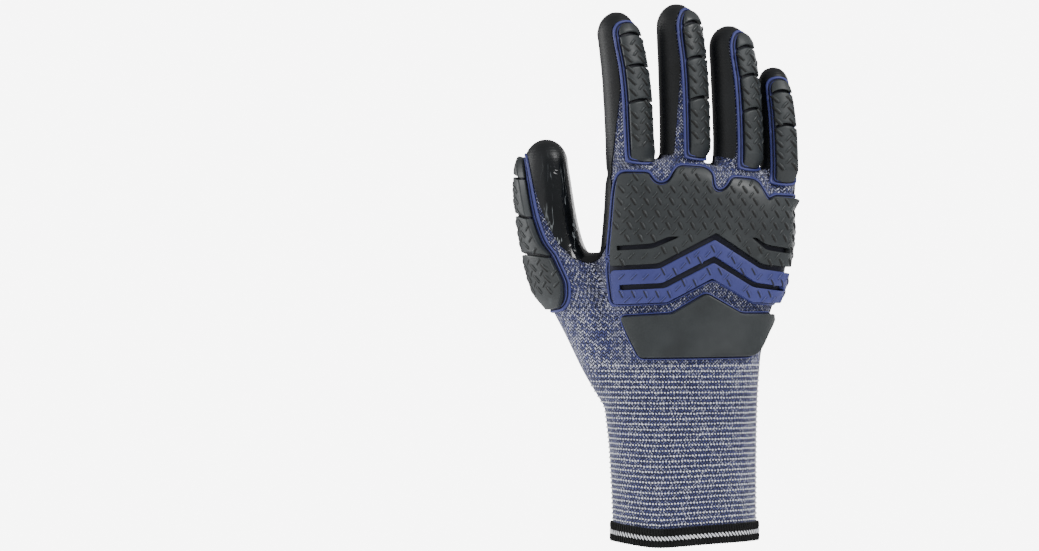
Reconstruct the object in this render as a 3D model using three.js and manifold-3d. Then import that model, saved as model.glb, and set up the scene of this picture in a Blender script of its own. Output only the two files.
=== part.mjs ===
// A right-hand knitted work glove with a dipped palm and moulded impact guards on its back.
// Lengths are in millimetres. The fingers point up (+Z), the back of the hand faces -Y, the thumb
// is on the -X side and the middle of the wrist opening is the origin.
import * as THREE from 'three';
import { mergeVertices } from 'three/addons/utils/BufferGeometryUtils.js';
import Module from 'manifold-3d';

// Walls and clearances
const KNIT_WALL = 1.2;
const COATING_WALL = 0.8;
const HEM_WALL = 1.1;
const BASE_WALL = 0.9;
const KNUCKLE_PAD_WALL = 2.8;
const CHEVRON_WALL = 2.6;
const WRIST_PAD_WALL = 2.7;
const DIGIT_PAD_WALL = 2.7;
const PIECE_GAP = 0.35;
const PAD_GAP = 0.45;

// Cuff and palm
const CUFF_WIDTH = 66.4;
const CUFF_DEPTH = 41;
const CUFF_LENGTH = 85;
const HEM_HEIGHT = 11.5;
const PALM_LENGTH = 92.6;
const PALM_WIDTH = 88;
const PALM_DEPTH = 33;
const PALM_TURN = 0.17;
const WEB_FALL = 9.68;
const WEB_PEAK = -0.11;
const HAND_MIDDLE = 0.06;

// Fingers and thumb
const INDEX_LENGTH = 71.2;
const INDEX_WIDTH = 18.6;
const MIDDLE_LENGTH = 74;
const MIDDLE_WIDTH = 19.2;
const RING_LENGTH = 69.2;
const RING_WIDTH = 19;
const LITTLE_LENGTH = 59.2;
const LITTLE_WIDTH = 15.3;
const FINGER_BEND = 4;
const THUMB_LENGTH = 56.6;
const THUMB_WIDTH = 22.2;
const THUMB_REACH = 65;
const THUMB_WEB_HEIGHT = 131.6;

// Guards
const BACK_GUARD_WIDTH = 87.4;
const BACK_GUARD_HEIGHT = 64.4;
const BACK_GUARD_SHIFT = 7.9;
const BACK_GUARD_DROP = 1.7;
const WRIST_GUARD_WIDTH = 72.1;
const WRIST_GUARD_HEIGHT = 29.7;
const WRIST_GUARD_SHIFT = 5.4;
const WRIST_GUARD_TUCK = 4.9;
const BORDER_WIDTH = 1.3;
const FLEX_GROOVE_WIDTH = 1.4;
const FLEX_ARCH = 1.6;

// Lifts are shares of a digit pad's wall: at its foot and in its flex grooves, near its head, at
// its head and along its sides. The crown is how much thinner a pad is at its sides than its middle.
const LOW_LIFT = 0.25;
const NEAR_HEAD_LIFT = 0.9;
const HEAD_LIFT = 0.4;
const SIDE_LIFT = 0.3;
const PAD_CROWN = 0.2;
const BEVEL_GROOVES = 3;
const THUMB_PAD_EXTRA = [-0.23, -0.15, 0.2, 0.5];
const WINDOW_FOOT = -0.2;

// The knitted fingers and thumb are pieces of their own above these shares of their length
const FINGER_SPLIT = 0.06;
const THUMB_SPLIT = 0.05;

// The wedge of bare knit beside a digit's guard: its angle at the web and the share of the digit's
// length at which it ends
const WEDGE_ANGLE = 18;
const WEDGE_TOP = 0.6;

// How finely round forms are cut into flats
const PALM_SIDES = 20;
const DIGIT_SIDES = 10;
const THUMB_SIDES = 12;

// Sections of the cuff, from the hem up: heights are shares of the cuff's length, the rest of its
// width and depth, and the slope is how far the section is turned towards the thumb.
const CUFF_ROWS = [
  { up: 0, left: -0.51, right: 0.49, deep: 1, back: 0, slope: 0, square: 2.1 },
  { up: 0.48, left: -0.535, right: 0.492, deep: 0.97, back: 0.01, slope: 0.15, square: 2.1 },
  { up: 1, left: -0.61, right: 0.518, deep: 0.9, back: 0.035, slope: 0.45, square: 2.2 },
];

// Sections of the palm up to the webs between the fingers, as shares of the palm's sizes. The web
// share tells how far a section follows the falling line of the webs.
const PALM_ROWS = [
  { up: 0.17, left: -0.475, right: 0.42, deep: 1.06, back: 0.06, slope: 0.6, square: 2.3, web: 0 },
  { up: 0.48, left: -0.455, right: 0.505, deep: 0.97, back: 0.04, slope: 0.8, square: 2.5, web: 0.3 },
  { up: 0.83, left: -0.425, right: 0.536, deep: 0.84, back: 0.02, slope: 1, square: 2.5, web: 0.8 },
  { up: 0.93, left: -0.42, right: 0.53, deep: 0.77, back: 0.015, slope: 1, square: 2.4, web: 1 },
  { up: 0.985, left: -0.405, right: 0.518, deep: 0.62, back: 0.01, slope: 1, square: 2.3, web: 1 },
  { up: 1.02, left: -0.37, right: 0.498, deep: 0.38, back: 0.01, slope: 1, square: 2.2, web: 1 },
];

// Sections of a finger from its root inside the palm to the start of its round tip: heights are
// shares of its length, lean of its sideways lean, bend of the forward bend, wide of its width.
// Tuck moves a root towards the middle of the hand, as a share of its distance from there.
const FINGER_ROWS = [
  { up: -0.24, lean: 0, bend: 0, tuck: 0.14, wide: 0.6 },
  { up: 0, lean: 0, bend: 0, tuck: 0.02, wide: 1.04 },
  { up: 0.2, lean: 0.06, bend: 0.08, tuck: 0, wide: 1 },
  { up: 0.45, lean: 0.2, bend: 0.3, tuck: 0, wide: 1 },
  { up: 0.65, lean: 0.42, bend: 0.55, tuck: 0, wide: 0.97 },
  { up: 0.86, lean: 0.82, bend: 0.9, tuck: 0, wide: 0.9 },
];
const FINGER_TIP_START = 0.86;
const FINGER_ROUNDNESS = 0.9;

// Sections of the thumb: out is a share of its reach from the wrist's middle line, back a share of
// its width towards the palm, wide and deep shares of its width.
const THUMB_ROWS = [
  { up: -1.24, out: 0.235, back: 0.1, wide: 1.89, deep: 1.45 },
  { up: -0.86, out: 0.385, back: 0.14, wide: 2.16, deep: 1.48 },
  { up: -0.55, out: 0.535, back: 0.17, wide: 2.05, deep: 1.42 },
  { up: -0.15, out: 0.8, back: 0.19, wide: 1.44, deep: 1.21 },
  { up: 0.16, out: 0.925, back: 0.2, wide: 1.06, deep: 1.05 },
  { up: 0.63, out: 0.99, back: 0.22, wide: 0.95, deep: 0.92 },
  { up: 0.81, out: 1, back: 0.23, wide: 0.86, deep: 0.83 },
];
const THUMB_TIP_START = 0.81;

// Round tips are cut at these angles between their edge and their top
const TIP_ANGLES = [30, 60];

// Digit guards: angles in degrees round the digit, from the back of the hand (0) to the little
// finger side (90); heights are shares of the digit's length from its web.
const FINGER_GUARD_ROWS = [
  { up: 0, from: 0, to: 0 },
  { up: 0.05, from: 0, to: 0 },
  { up: 0.4, from: 0, to: 0 },
  { up: 0.62, from: -1, to: -2 },
  { up: 0.8, from: -4, to: -5 },
  { up: 0.86, from: -4, to: -7 },
  { up: 0.9, from: -2, to: -11 },
  { up: 0.945, from: 6, to: -20 },
];
const THUMB_GUARD_ROWS = [
  { up: -0.43, from: -108, to: -66 },
  { up: -0.39, from: -114, to: -45 },
  { up: -0.31, from: -118, to: -26 },
  { up: -0.23, from: -120, to: -15 },
  { up: -0.15, from: -121, to: -8 },
  { up: 0.04, from: -125, to: -6 },
  { up: 0.16, from: -127, to: -18 },
  { up: 0.36, from: -130, to: -29 },
  { up: 0.63, from: -133, to: -38 },
  { up: 0.81, from: -131, to: -52 },
  { up: 0.86, from: -124, to: -58 },
];

const DIGITS = [
  {
    name: 'index', length: INDEX_LENGTH, width: INDEX_WIDTH, root: -0.312, lean: -0.068, back: 0,
    guard: { from: -9, to: 78, foot: 0.037, grooves: [0.428, 0.65, 0.859], head: 0.927 },
  },
  {
    name: 'middle', length: MIDDLE_LENGTH, width: MIDDLE_WIDTH, root: -0.021, lean: -0.035, back: 0,
    guard: { from: 7, to: 84, foot: 0.036, grooves: [0.407, 0.658, 0.88], head: 0.943 },
  },
  {
    name: 'ring', length: RING_LENGTH, width: RING_WIDTH, root: 0.263, lean: -0.04, back: 0,
    guard: { from: 4, to: 82, foot: 0.037, grooves: [0.421, 0.653, 0.871], head: 0.936 },
  },
  {
    name: 'little', length: LITTLE_LENGTH, width: LITTLE_WIDTH, root: 0.496, lean: -0.03, back: 0.03,
    guard: { from: -20, to: 66, foot: 0.081, grooves: [0.539, 0.806], head: 0.885 },
  },
];

// Outlines seen from the back of the hand, counter-clockwise, as shares of the guard's width from
// its thumb side and of its height from its lower edge.
const KNUCKLE_TOP = [
  [1.08, 0.27], [1.08, 0.53], [1.08, 0.73], [0.99, 0.775], [0.895, 0.787], [0.855, 0.747], [0.827, 0.823],
  [0.809, 0.899], [0.651, 0.915], [0.633, 0.874], [0.596, 0.825], [0.566, 0.832], [0.545, 0.885],
  [0.521, 0.989], [0.372, 0.999], [0.354, 0.955], [0.325, 0.895], [0.277, 0.87], [0.232, 0.893],
  [0.21, 0.942], [0.051, 0.946], [0.021, 0.686], [0.003, 0.375], [0.004, 0.285],
];
const KNUCKLE_VEE = [[0.266, 0.299], [0.574, 0.517], [0.819, 0.289]];
const CHEVRON_OUTLINE = [
  [0.021, 0.001], [0.31, 0.018], [0.552, 0.193], [0.763, 0.019], [1.08, 0.006], [1.08, 0.235],
  [0.807, 0.262], [0.568, 0.465], [0.27, 0.261], [0.001, 0.251], [0.002, 0.142],
];
const CHEVRON_SLOT = [
  [0.055, 0.108], [0.299, 0.127], [0.56, 0.307], [0.771, 0.129], [0.924, 0.101],
  [0.924, 0.131], [0.785, 0.158], [0.563, 0.347], [0.285, 0.154], [0.055, 0.142],
];
const THUMB_SIDE_SLOT = [
  [0.04, 0.392], [0.234, 0.408], [0.372, 0.492], [0.317, 0.492], [0.234, 0.441], [0.04, 0.425],
];
const LITTLE_SIDE_SLOT = [
  [0.96, 0.376], [0.96, 0.407], [0.836, 0.435], [0.796, 0.484], [0.761, 0.484], [0.844, 0.396],
];
const WRIST_OUTLINE = [
  [0.129, 0], [0.871, 0.03], [0.917, 0.141], [1, 0.591], [1, 0.688], [0.794, 0.688],
  [0.563, 1], [0.335, 0.685], [0, 0.643],
];

// Where the back of the hand is bare knit: shares of the palm's width and of the glove's height up
// to the webs, for the edge that the coating keeps beside it.
const BARE_BACK = [
  [-0.6, -0.1], [1.5, -0.1], [1.5, 0.95], [0.6, 0.94], [0.5, 0.97], [0.36, 1], [0.13, 1.02],
  [-0.15, 1.02], [-0.39, 1.012], [-0.4, 0.85], [-0.415, 0.79], [-0.455, 0.75], [-0.52, 0.733],
  [-0.6, 0.738],
];
const BARE_SIDE = 2;
const BARE_THUMB_ROOT = [
  [-1.5, -0.1], [-0.3, -0.1], [-0.3, 0.72], [-0.42, 0.745], [-0.5, 0.733], [-0.65, 0.76],
  [-1.5, 0.76],
];
const BARE_THUMB_DEPTH = 3.3;

// The lower edge of the coating across the palm, from the little finger side to the thumb side
const COATING_FOOT = [
  [0.8, 0.42], [0.47, 0.355], [0.41, 0.332], [0.31, 0.319], [0.08, 0.315], [-0.07, 0.319],
  [-0.195, 0.33], [-0.317, 0.385], [-0.48, 0.48], [-0.62, 0.6], [-0.8, 0.8], [-1.5, 0.9],
];

const WEB_HEIGHT = CUFF_LENGTH + PALM_LENGTH;
// The back guard hangs below the webs, and the wrist guard's peak reaches up into its vee
const BACK_GUARD_FOOT = WEB_HEIGHT - BACK_GUARD_DROP - BACK_GUARD_HEIGHT;
const WRIST_GUARD_FOOT = BACK_GUARD_FOOT + WRIST_GUARD_TUCK - WRIST_GUARD_HEIGHT;
const SHEET_SEAT = PIECE_GAP;
const PAD_SEAT = SHEET_SEAT + BASE_WALL + PAD_GAP;

const wasm = await Module();
wasm.setup();

function solidOf(geometry) {
  const bare = geometry.clone();
  bare.deleteAttribute('normal');
  bare.deleteAttribute('uv');
  const merged = mergeVertices(bare, 1e-5);
  const mesh = new wasm.Mesh({
    numProp: 3,
    vertProperties: new Float32Array(merged.attributes.position.array),
    triVerts: new Uint32Array(merged.index.array),
  });
  return new wasm.Manifold(mesh);
}

function geometryOf(solid) {
  const mesh = solid.getMesh();
  const geometry = new THREE.BufferGeometry();
  geometry.setAttribute('position', new THREE.BufferAttribute(mesh.vertProperties, 3));
  geometry.setIndex(new THREE.BufferAttribute(mesh.triVerts, 1));
  geometry.computeVertexNormals();
  return geometry;
}

// A row between the rows of a table, for any height, with every column blended
function rowAt(rows, up) {
  const next = rows.findIndex((row) => row.up >= up);
  if (next < 0) return { ...rows[rows.length - 1], up };
  if (next === 0) return { ...rows[0], up };
  const low = rows[next - 1];
  const high = rows[next];
  const share = (up - low.up) / (high.up - low.up);
  const row = {};
  for (const column of Object.keys(low)) {
    row[column] = THREE.MathUtils.lerp(low[column], high[column], share);
  }
  return row;
}

// Closed skin through rings of equal length, with a fan at both ends
function skinThrough(rings) {
  const sides = rings[0].length;
  const points = [];
  const faces = [];
  for (const ring of rings) {
    for (const point of ring) points.push(point.x, point.y, point.z);
  }
  for (let level = 0; level + 1 < rings.length; level += 1) {
    for (let side = 0; side < sides; side += 1) {
      const next = (side + 1) % sides;
      const a = level * sides + side;
      const b = level * sides + next;
      faces.push(a, b, b + sides, a, b + sides, a + sides);
    }
  }
  for (const level of [0, rings.length - 1]) {
    const middle = new THREE.Vector3();
    for (const point of rings[level]) middle.addScaledVector(point, 1 / sides);
    const hub = points.length / 3;
    points.push(middle.x, middle.y, middle.z);
    for (let side = 0; side < sides; side += 1) {
      const a = level * sides + side;
      const b = level * sides + ((side + 1) % sides);
      if (level === 0) faces.push(b, a, hub);
      else faces.push(a, b, hub);
    }
  }
  const geometry = new THREE.BufferGeometry();
  geometry.setAttribute('position', new THREE.Float32BufferAttribute(points, 3));
  geometry.setIndex(faces);
  return geometry;
}

// One section of cuff or palm as a superellipse, grown by an offset
function handRing(row, width, depth, height, offset) {
  const halfWidth = ((row.right - row.left) * width) / 2 + offset;
  const halfDepth = (row.deep * depth) / 2 + offset;
  const middle = ((row.right + row.left) * width) / 2;
  const web = row.web ?? 0;
  const ring = [];
  for (let side = 0; side < PALM_SIDES; side += 1) {
    const angle = (side / PALM_SIDES) * 2 * Math.PI;
    const across = Math.sign(Math.cos(angle)) * Math.abs(Math.cos(angle)) ** (2 / row.square);
    const through = Math.sign(Math.sin(angle)) * Math.abs(Math.sin(angle)) ** (2 / row.square);
    const x = middle + halfWidth * across;
    const y = row.back * depth + halfDepth * through + row.slope * PALM_TURN * (x - middle);
    ring.push(new THREE.Vector3(x, y, height - web * webFall(x)));
  }
  return ring;
}

// How far the line of the webs lies below its highest place, between index and middle finger
function webFall(x) {
  return WEB_FALL * (x / (PALM_WIDTH / 2) - 2 * WEB_PEAK) ** 2;
}

function palmSkin(offset, foot) {
  const rings = [];
  for (const row of CUFF_ROWS) {
    const height = row.up === 0 ? foot : row.up * CUFF_LENGTH;
    rings.push(handRing(row, CUFF_WIDTH, CUFF_DEPTH, height, offset));
  }
  for (const row of PALM_ROWS) {
    const rise = row.up > 1 ? offset : 0;
    rings.push(handRing(row, PALM_WIDTH, PALM_DEPTH, CUFF_LENGTH + row.up * PALM_LENGTH + rise, offset));
  }
  return skinThrough(rings);
}

// A digit's section at a height: its middle, its half width and half depth
function fingerSection(finger, up) {
  const row = rowAt(FINGER_ROWS, Math.min(up, FINGER_TIP_START));
  const rootX = finger.root * PALM_WIDTH;
  const web = WEB_HEIGHT - webFall(rootX);
  const lean = finger.lean * PALM_WIDTH;
  return {
    x: rootX * (1 - row.tuck) + row.lean * lean,
    y: PALM_TURN * rootX + finger.back * PALM_WIDTH + row.bend * FINGER_BEND,
    z: web + up * finger.length,
    halfWidth: (row.wide * finger.width) / 2,
    halfDepth: (row.wide * finger.width * FINGER_ROUNDNESS) / 2,
  };
}

function thumbSection(up) {
  const row = rowAt(THUMB_ROWS, Math.min(up, THUMB_TIP_START));
  return {
    x: -row.out * THUMB_REACH,
    y: row.back * THUMB_WIDTH,
    z: THUMB_WEB_HEIGHT + up * THUMB_LENGTH,
    halfWidth: (row.wide * THUMB_WIDTH) / 2,
    halfDepth: (row.deep * THUMB_WIDTH) / 2,
  };
}

const THUMB = {
  name: 'thumb',
  length: THUMB_LENGTH,
  tipStart: THUMB_TIP_START,
  split: THUMB_SPLIT,
  rows: THUMB_ROWS,
  sides: THUMB_SIDES,
  section: thumbSection,
  guard: { foot: -0.4, grooves: [0.041, 0.361, 0.683], head: 0.845 },
  guardRows: THUMB_GUARD_ROWS,
};

function fingerOf(finger) {
  const { from, to } = finger.guard;
  return {
    name: finger.name,
    length: finger.length,
    tipStart: FINGER_TIP_START,
    split: FINGER_SPLIT,
    rows: FINGER_ROWS,
    sides: DIGIT_SIDES,
    section: (up) => fingerSection(finger, up),
    guard: finger.guard,
    guardRows: FINGER_GUARD_ROWS.map((row) => ({ up: row.up, from: from + row.from, to: to + row.to })),
  };
}

const ALL_DIGITS = [...DIGITS.map(fingerOf), THUMB];

// A point on a digit's skin: an angle of 0 faces the back of the hand, 90 the little finger side.
// Above the start of the tip the skin closes over as a dome.
function digitPoint(digit, up, degrees, offset) {
  const section = digit.section(up);
  const angle = THREE.MathUtils.degToRad(degrees);
  const start = digit.tipStart;
  const rise = Math.min(Math.max((up - start) / (1 - start), 0), 1);
  const shrink = Math.sqrt(1 - rise * rise);
  const lift = rise * offset;
  return new THREE.Vector3(
    section.x + (section.halfWidth + offset) * shrink * Math.sin(angle),
    section.y - (section.halfDepth + offset) * shrink * Math.cos(angle),
    section.z + lift,
  );
}

function digitSkin(digit, offset) {
  const heights = digit.rows.map((row) => row.up);
  for (const degrees of TIP_ANGLES) {
    const share = Math.sin(THREE.MathUtils.degToRad(degrees));
    heights.push(digit.tipStart + share * (1 - digit.tipStart));
  }
  const rings = heights.map((up) => {
    const ring = [];
    for (let side = 0; side < digit.sides; side += 1) {
      ring.push(digitPoint(digit, up, (side / digit.sides) * 360, offset));
    }
    return ring;
  });
  const skin = skinThrough(rings);
  const tip = digitPoint(digit, 1, 0, offset);
  const position = skin.attributes.position;
  const crown = position.count - 1;
  position.setXYZ(crown, tip.x, digit.section(1).y, tip.z);
  return skin;
}

// The whole hand's skin grown by an offset, its open end at a height
function handSolid(offset, foot) {
  let hand = solidOf(palmSkin(offset, foot));
  for (const digit of ALL_DIGITS) hand = hand.add(solidOf(digitSkin(digit, offset)));
  return hand;
}

// A shell strip on a digit's skin. Each row has a height, a first and last angle and an arch, and
// each column a share across; low and high give the two offsets there.
function strip(digit, rows, columns, low, high) {
  const points = [];
  const faces = [];
  const count = columns.length;
  const layer = rows.length * count;
  for (const offset of [low, high]) {
    for (const row of rows) {
      for (const across of columns) {
        const degrees = THREE.MathUtils.lerp(row.from, row.to, (across + 1) / 2);
        const arch = (row.arch ?? 0) * (1 - across * across);
        const point = digitPoint(digit, row.up + arch / digit.length, degrees, offset(row, across));
        points.push(point.x, point.y, point.z);
      }
    }
  }
  const quad = (a, b, c, d) => faces.push(a, b, c, a, c, d);
  for (let level = 0; level + 1 < rows.length; level += 1) {
    for (let column = 0; column + 1 < count; column += 1) {
      const a = level * count + column;
      quad(layer + a, layer + a + 1, layer + a + 1 + count, layer + a + count);
      quad(a, a + count, a + 1 + count, a + 1);
    }
    const first = level * count;
    const last = first + count - 1;
    quad(first, first + layer, first + layer + count, first + count);
    quad(last, last + count, last + count + layer, last + layer);
  }
  const top = (rows.length - 1) * count;
  for (let column = 0; column + 1 < count; column += 1) {
    quad(column, column + 1, column + 1 + layer, column + layer);
    quad(top + column, top + column + layer, top + column + 1 + layer, top + column + 1);
  }
  const geometry = new THREE.BufferGeometry();
  geometry.setAttribute('position', new THREE.Float32BufferAttribute(points, 3));
  geometry.setIndex(faces);
  return solidOf(geometry);
}

// The angle that a length covers on a digit's skin
function degreesFor(digit, up, length) {
  return THREE.MathUtils.radToDeg(length / digit.section(up).halfWidth);
}

const SHEET_COLUMNS = [-1, -0.6, -0.2, 0.2, 0.6, 1];
const WIDE_SHEET_COLUMNS = [-1, -0.75, -0.5, -0.25, 0, 0.25, 0.5, 0.75, 1];
const PAD_COLUMNS = [-1, -0.88, -0.45, 0, 0.45, 0.88, 1];
const WIDE_PAD_COLUMNS = [-1, -0.9, -0.6, -0.3, 0, 0.3, 0.6, 0.9, 1];

function guardSheet(digit, palm) {
  const edge = BORDER_WIDTH / digit.length;
  const { foot, head } = digit.guard;
  const inner = digit.guardRows.filter((row) => row.up > foot && row.up < head).map((row) => row.up);
  const heights = [foot - edge, foot + edge, ...inner, head - edge, head + edge];
  heights.sort((a, b) => a - b);
  const rows = heights.map((up) => {
    const row = rowAt(digit.guardRows, up);
    const grow = degreesFor(digit, up, BORDER_WIDTH);
    return { up, from: row.from - grow, to: row.to + grow };
  });
  const low = () => SHEET_SEAT;
  const high = () => SHEET_SEAT + BASE_WALL;
  const columns = digit === THUMB ? WIDE_SHEET_COLUMNS : SHEET_COLUMNS;
  return strip(digit, rows, columns, low, high).subtract(palm);
}

function guardPad(digit, palm) {
  const half = FLEX_GROOVE_WIDTH / 2 / digit.length;
  const bevel = (BEVEL_GROOVES * FLEX_GROOVE_WIDTH) / digit.length;
  const { foot, grooves, head } = digit.guard;
  const tipMiddle = (digit.tipStart + head) / 2;
  const levels = [{ up: foot, lift: LOW_LIFT }, { up: foot + bevel, lift: 1 }];
  for (const groove of grooves) {
    levels.push({ up: groove - half, lift: 1, arch: FLEX_ARCH });
    levels.push({ up: groove, lift: LOW_LIFT, arch: FLEX_ARCH });
    levels.push({ up: groove + half, lift: 1, arch: FLEX_ARCH });
  }
  const last = grooves[grooves.length - 1] + half;
  if (tipMiddle > last + 2 * half) levels.push({ up: tipMiddle, lift: 1 });
  levels.push({ up: head - half, lift: NEAR_HEAD_LIFT }, { up: head, lift: HEAD_LIFT });
  if (digit === THUMB) {
    for (const up of THUMB_PAD_EXTRA) levels.push({ up, lift: 1 });
  } else {
    levels.push({ up: (foot + bevel + grooves[0]) / 2, lift: 1 });
  }
  levels.sort((a, b) => a.up - b.up);
  const rows = levels.map((level) => ({ ...rowAt(digit.guardRows, level.up), ...level }));
  const low = () => PAD_SEAT;
  const high = (row, across) => {
    const share = Math.abs(across) === 1 ? SIDE_LIFT : 1 - PAD_CROWN * across * across;
    return PAD_SEAT + DIGIT_PAD_WALL * share * row.lift;
  };
  const columns = digit === THUMB ? WIDE_PAD_COLUMNS : PAD_COLUMNS;
  return strip(digit, rows, columns, low, high).subtract(palm);
}

// The stretch of a digit that the coating leaves free for its guard and a wedge of knit beside it
function coatingWindow(digit) {
  const edge = (BORDER_WIDTH + PIECE_GAP) / digit.length;
  const head = digit.guard.head + 2 * edge;
  const isThumb = digit === THUMB;
  const foot = isThumb ? digit.guard.foot - 2 * edge : WINDOW_FOOT;
  const inner = digit.rows.filter((row) => row.up > foot && row.up < head).map((row) => row.up);
  const heights = [foot, ...inner, (digit.tipStart + head) / 2, head];
  const rows = heights.map((up) => {
    const row = rowAt(digit.guardRows, up);
    const grow = degreesFor(digit, up, BORDER_WIDTH + PIECE_GAP);
    const wedge = WEDGE_ANGLE * THREE.MathUtils.clamp(1 - up / WEDGE_TOP, 0, 1);
    return {
      up,
      from: row.from - grow - (isThumb ? 0 : wedge),
      to: row.to + grow + (isThumb ? wedge : 0),
    };
  });
  const low = () => -KNIT_WALL;
  const high = () => PIECE_GAP + 2 * COATING_WALL;
  return strip(digit, rows, SHEET_COLUMNS, low, high);
}

// How deep the cuts from the back go: to the middle of the hand's turned section
function handMiddle(x) {
  return PALM_TURN * (x - HAND_MIDDLE * PALM_WIDTH);
}

// An outline seen from the back, cut through the back half of the hand
function backPrism(outline, depthAt = handMiddle) {
  const shape = new THREE.Shape(outline.map(([x, z]) => new THREE.Vector2(x, z)));
  const reach = 2 * PALM_DEPTH;
  const prism = new THREE.ExtrudeGeometry(shape, { depth: reach, bevelEnabled: false });
  const position = prism.attributes.position;
  for (let index = 0; index < position.count; index += 1) {
    const x = position.getX(index);
    const z = position.getY(index);
    const y = position.getZ(index) > 0 ? -reach : depthAt(x);
    position.setXYZ(index, x, y, z);
  }
  return solidOf(prism);
}

function placeOutline(outline, width, height, shift, foot) {
  return outline.map(([across, up]) => [shift + (across - 0.5) * width, foot + up * height]);
}

function onBackGuard(outline) {
  return placeOutline(outline, BACK_GUARD_WIDTH, BACK_GUARD_HEIGHT, BACK_GUARD_SHIFT, BACK_GUARD_FOOT);
}

function onWristGuard(outline) {
  return placeOutline(outline, WRIST_GUARD_WIDTH, WRIST_GUARD_HEIGHT, WRIST_GUARD_SHIFT, WRIST_GUARD_FOOT);
}

// An outline with every edge moved out by a distance
function grown(outline, distance) {
  const count = outline.length;
  return outline.map((point, index) => {
    const before = outline[(index + count - 1) % count];
    const after = outline[(index + 1) % count];
    const first = new THREE.Vector2(point[0] - before[0], point[1] - before[1]).normalize();
    const second = new THREE.Vector2(after[0] - point[0], after[1] - point[1]).normalize();
    const normal = new THREE.Vector2(first.y + second.y, -first.x - second.x).normalize();
    const reach = distance / Math.max(0.5, normal.x * first.y - normal.y * first.x);
    return [point[0] + normal.x * reach, point[1] + normal.y * reach];
  });
}

function shell(low, high) {
  return handSolid(high, 0).subtract(handSolid(low, 0));
}

// The whole knitted skin, open at the wrist
function knitSkin() {
  const below = -2 * KNIT_WALL;
  return handSolid(0, KNIT_WALL).subtract(handSolid(-KNIT_WALL, below));
}

// The space that a digit takes above its split, its foot lowered by a distance
function digitSpace(digit, drop) {
  const height = 2 * digit.length;
  const block = new THREE.BoxGeometry(4 * PALM_WIDTH, 4 * PALM_WIDTH, height);
  block.translate(0, 0, digit.section(digit.split).z - drop + height / 2);
  return solidOf(digitSkin(digit, PIECE_GAP / 2)).intersect(solidOf(block));
}

function palmCoating() {
  let coating = shell(PIECE_GAP, PIECE_GAP + COATING_WALL);
  const onGlove = (outline) => outline.map(([x, z]) => [x * PALM_WIDTH, z * WEB_HEIGHT]);
  coating = coating.subtract(backPrism(onGlove(BARE_BACK), (x) => handMiddle(x) + BARE_SIDE));
  coating = coating.subtract(backPrism(onGlove(BARE_THUMB_ROOT), () => BARE_THUMB_DEPTH));
  coating = coating.subtract(backPrism(backSheetOutline(BORDER_WIDTH + PIECE_GAP)));
  const foot = onGlove([...COATING_FOOT, [-1.5, -0.1], [0.8, -0.1]]);
  const shape = new THREE.Shape(foot.map(([x, z]) => new THREE.Vector2(x, z)));
  const below = new THREE.ExtrudeGeometry(shape, { depth: 4 * PALM_DEPTH, bevelEnabled: false });
  below.rotateX(Math.PI / 2);
  below.translate(0, 2 * PALM_DEPTH, 0);
  coating = coating.subtract(solidOf(below));
  for (const digit of ALL_DIGITS) coating = coating.subtract(coatingWindow(digit));
  return coating;
}

function cuffHem() {
  const wall = shell(PIECE_GAP, PIECE_GAP + HEM_WALL);
  const block = new THREE.BoxGeometry(2 * CUFF_WIDTH, 2 * CUFF_DEPTH, HEM_HEIGHT);
  block.translate(0, 0, HEM_HEIGHT / 2);
  return wall.intersect(solidOf(block));
}

// The blue sheet's outline: round the knuckle guard and the chevron guard in one line
function backSheetOutline(border) {
  const chevronSide = CHEVRON_OUTLINE.slice(-2);
  const chevronFoot = CHEVRON_OUTLINE.slice(0, 5);
  return grown(onBackGuard([...KNUCKLE_TOP.slice(0, -1), ...chevronSide, ...chevronFoot]), border);
}

function backGuardBase() {
  return shell(SHEET_SEAT, SHEET_SEAT + BASE_WALL).intersect(backPrism(backSheetOutline(BORDER_WIDTH)));
}

function knuckleGuard() {
  const outline = onBackGuard([...KNUCKLE_TOP, ...KNUCKLE_VEE]);
  let guard = shell(PAD_SEAT, PAD_SEAT + KNUCKLE_PAD_WALL).intersect(backPrism(outline));
  guard = guard.subtract(backPrism(onBackGuard(THUMB_SIDE_SLOT)));
  return guard.subtract(backPrism(onBackGuard(LITTLE_SIDE_SLOT)));
}

function chevronGuard() {
  const guard = shell(PAD_SEAT, PAD_SEAT + CHEVRON_WALL).intersect(backPrism(onBackGuard(CHEVRON_OUTLINE)));
  return guard.subtract(backPrism(onBackGuard(CHEVRON_SLOT)));
}

function wristGuardBase() {
  const outline = grown(onWristGuard(WRIST_OUTLINE), BORDER_WIDTH);
  return shell(SHEET_SEAT, SHEET_SEAT + BASE_WALL).intersect(backPrism(outline));
}

function wristGuard() {
  return shell(PAD_SEAT, PAD_SEAT + WRIST_PAD_WALL).intersect(backPrism(onWristGuard(WRIST_OUTLINE)));
}

const FINISHES = {
  knit: { color: 0x585c96, roughness: 0.92, metalness: 0 },
  coating: { color: 0x2d2a28, roughness: 0.7, metalness: 0 },
  hem: { color: 0x17171b, roughness: 0.95, metalness: 0 },
  blueRubber: { color: 0x484e96, roughness: 0.55, metalness: 0 },
  blackRubber: { color: 0x343737, roughness: 0.5, metalness: 0 },
};

const glove = new THREE.Group();

// The main body of a solid, without the crumbs that a cut may leave at an edge
function mainBody(solid) {
  const bodies = solid.decompose();
  return bodies.reduce((best, body) => (body.volume() > best.volume() ? body : best));
}

function addPiece(name, solid, finish) {
  const geometry = geometryOf(mainBody(solid));
  const mesh = new THREE.Mesh(geometry, new THREE.MeshStandardMaterial(FINISHES[finish]));
  mesh.name = name;
  glove.add(mesh);
}

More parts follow.
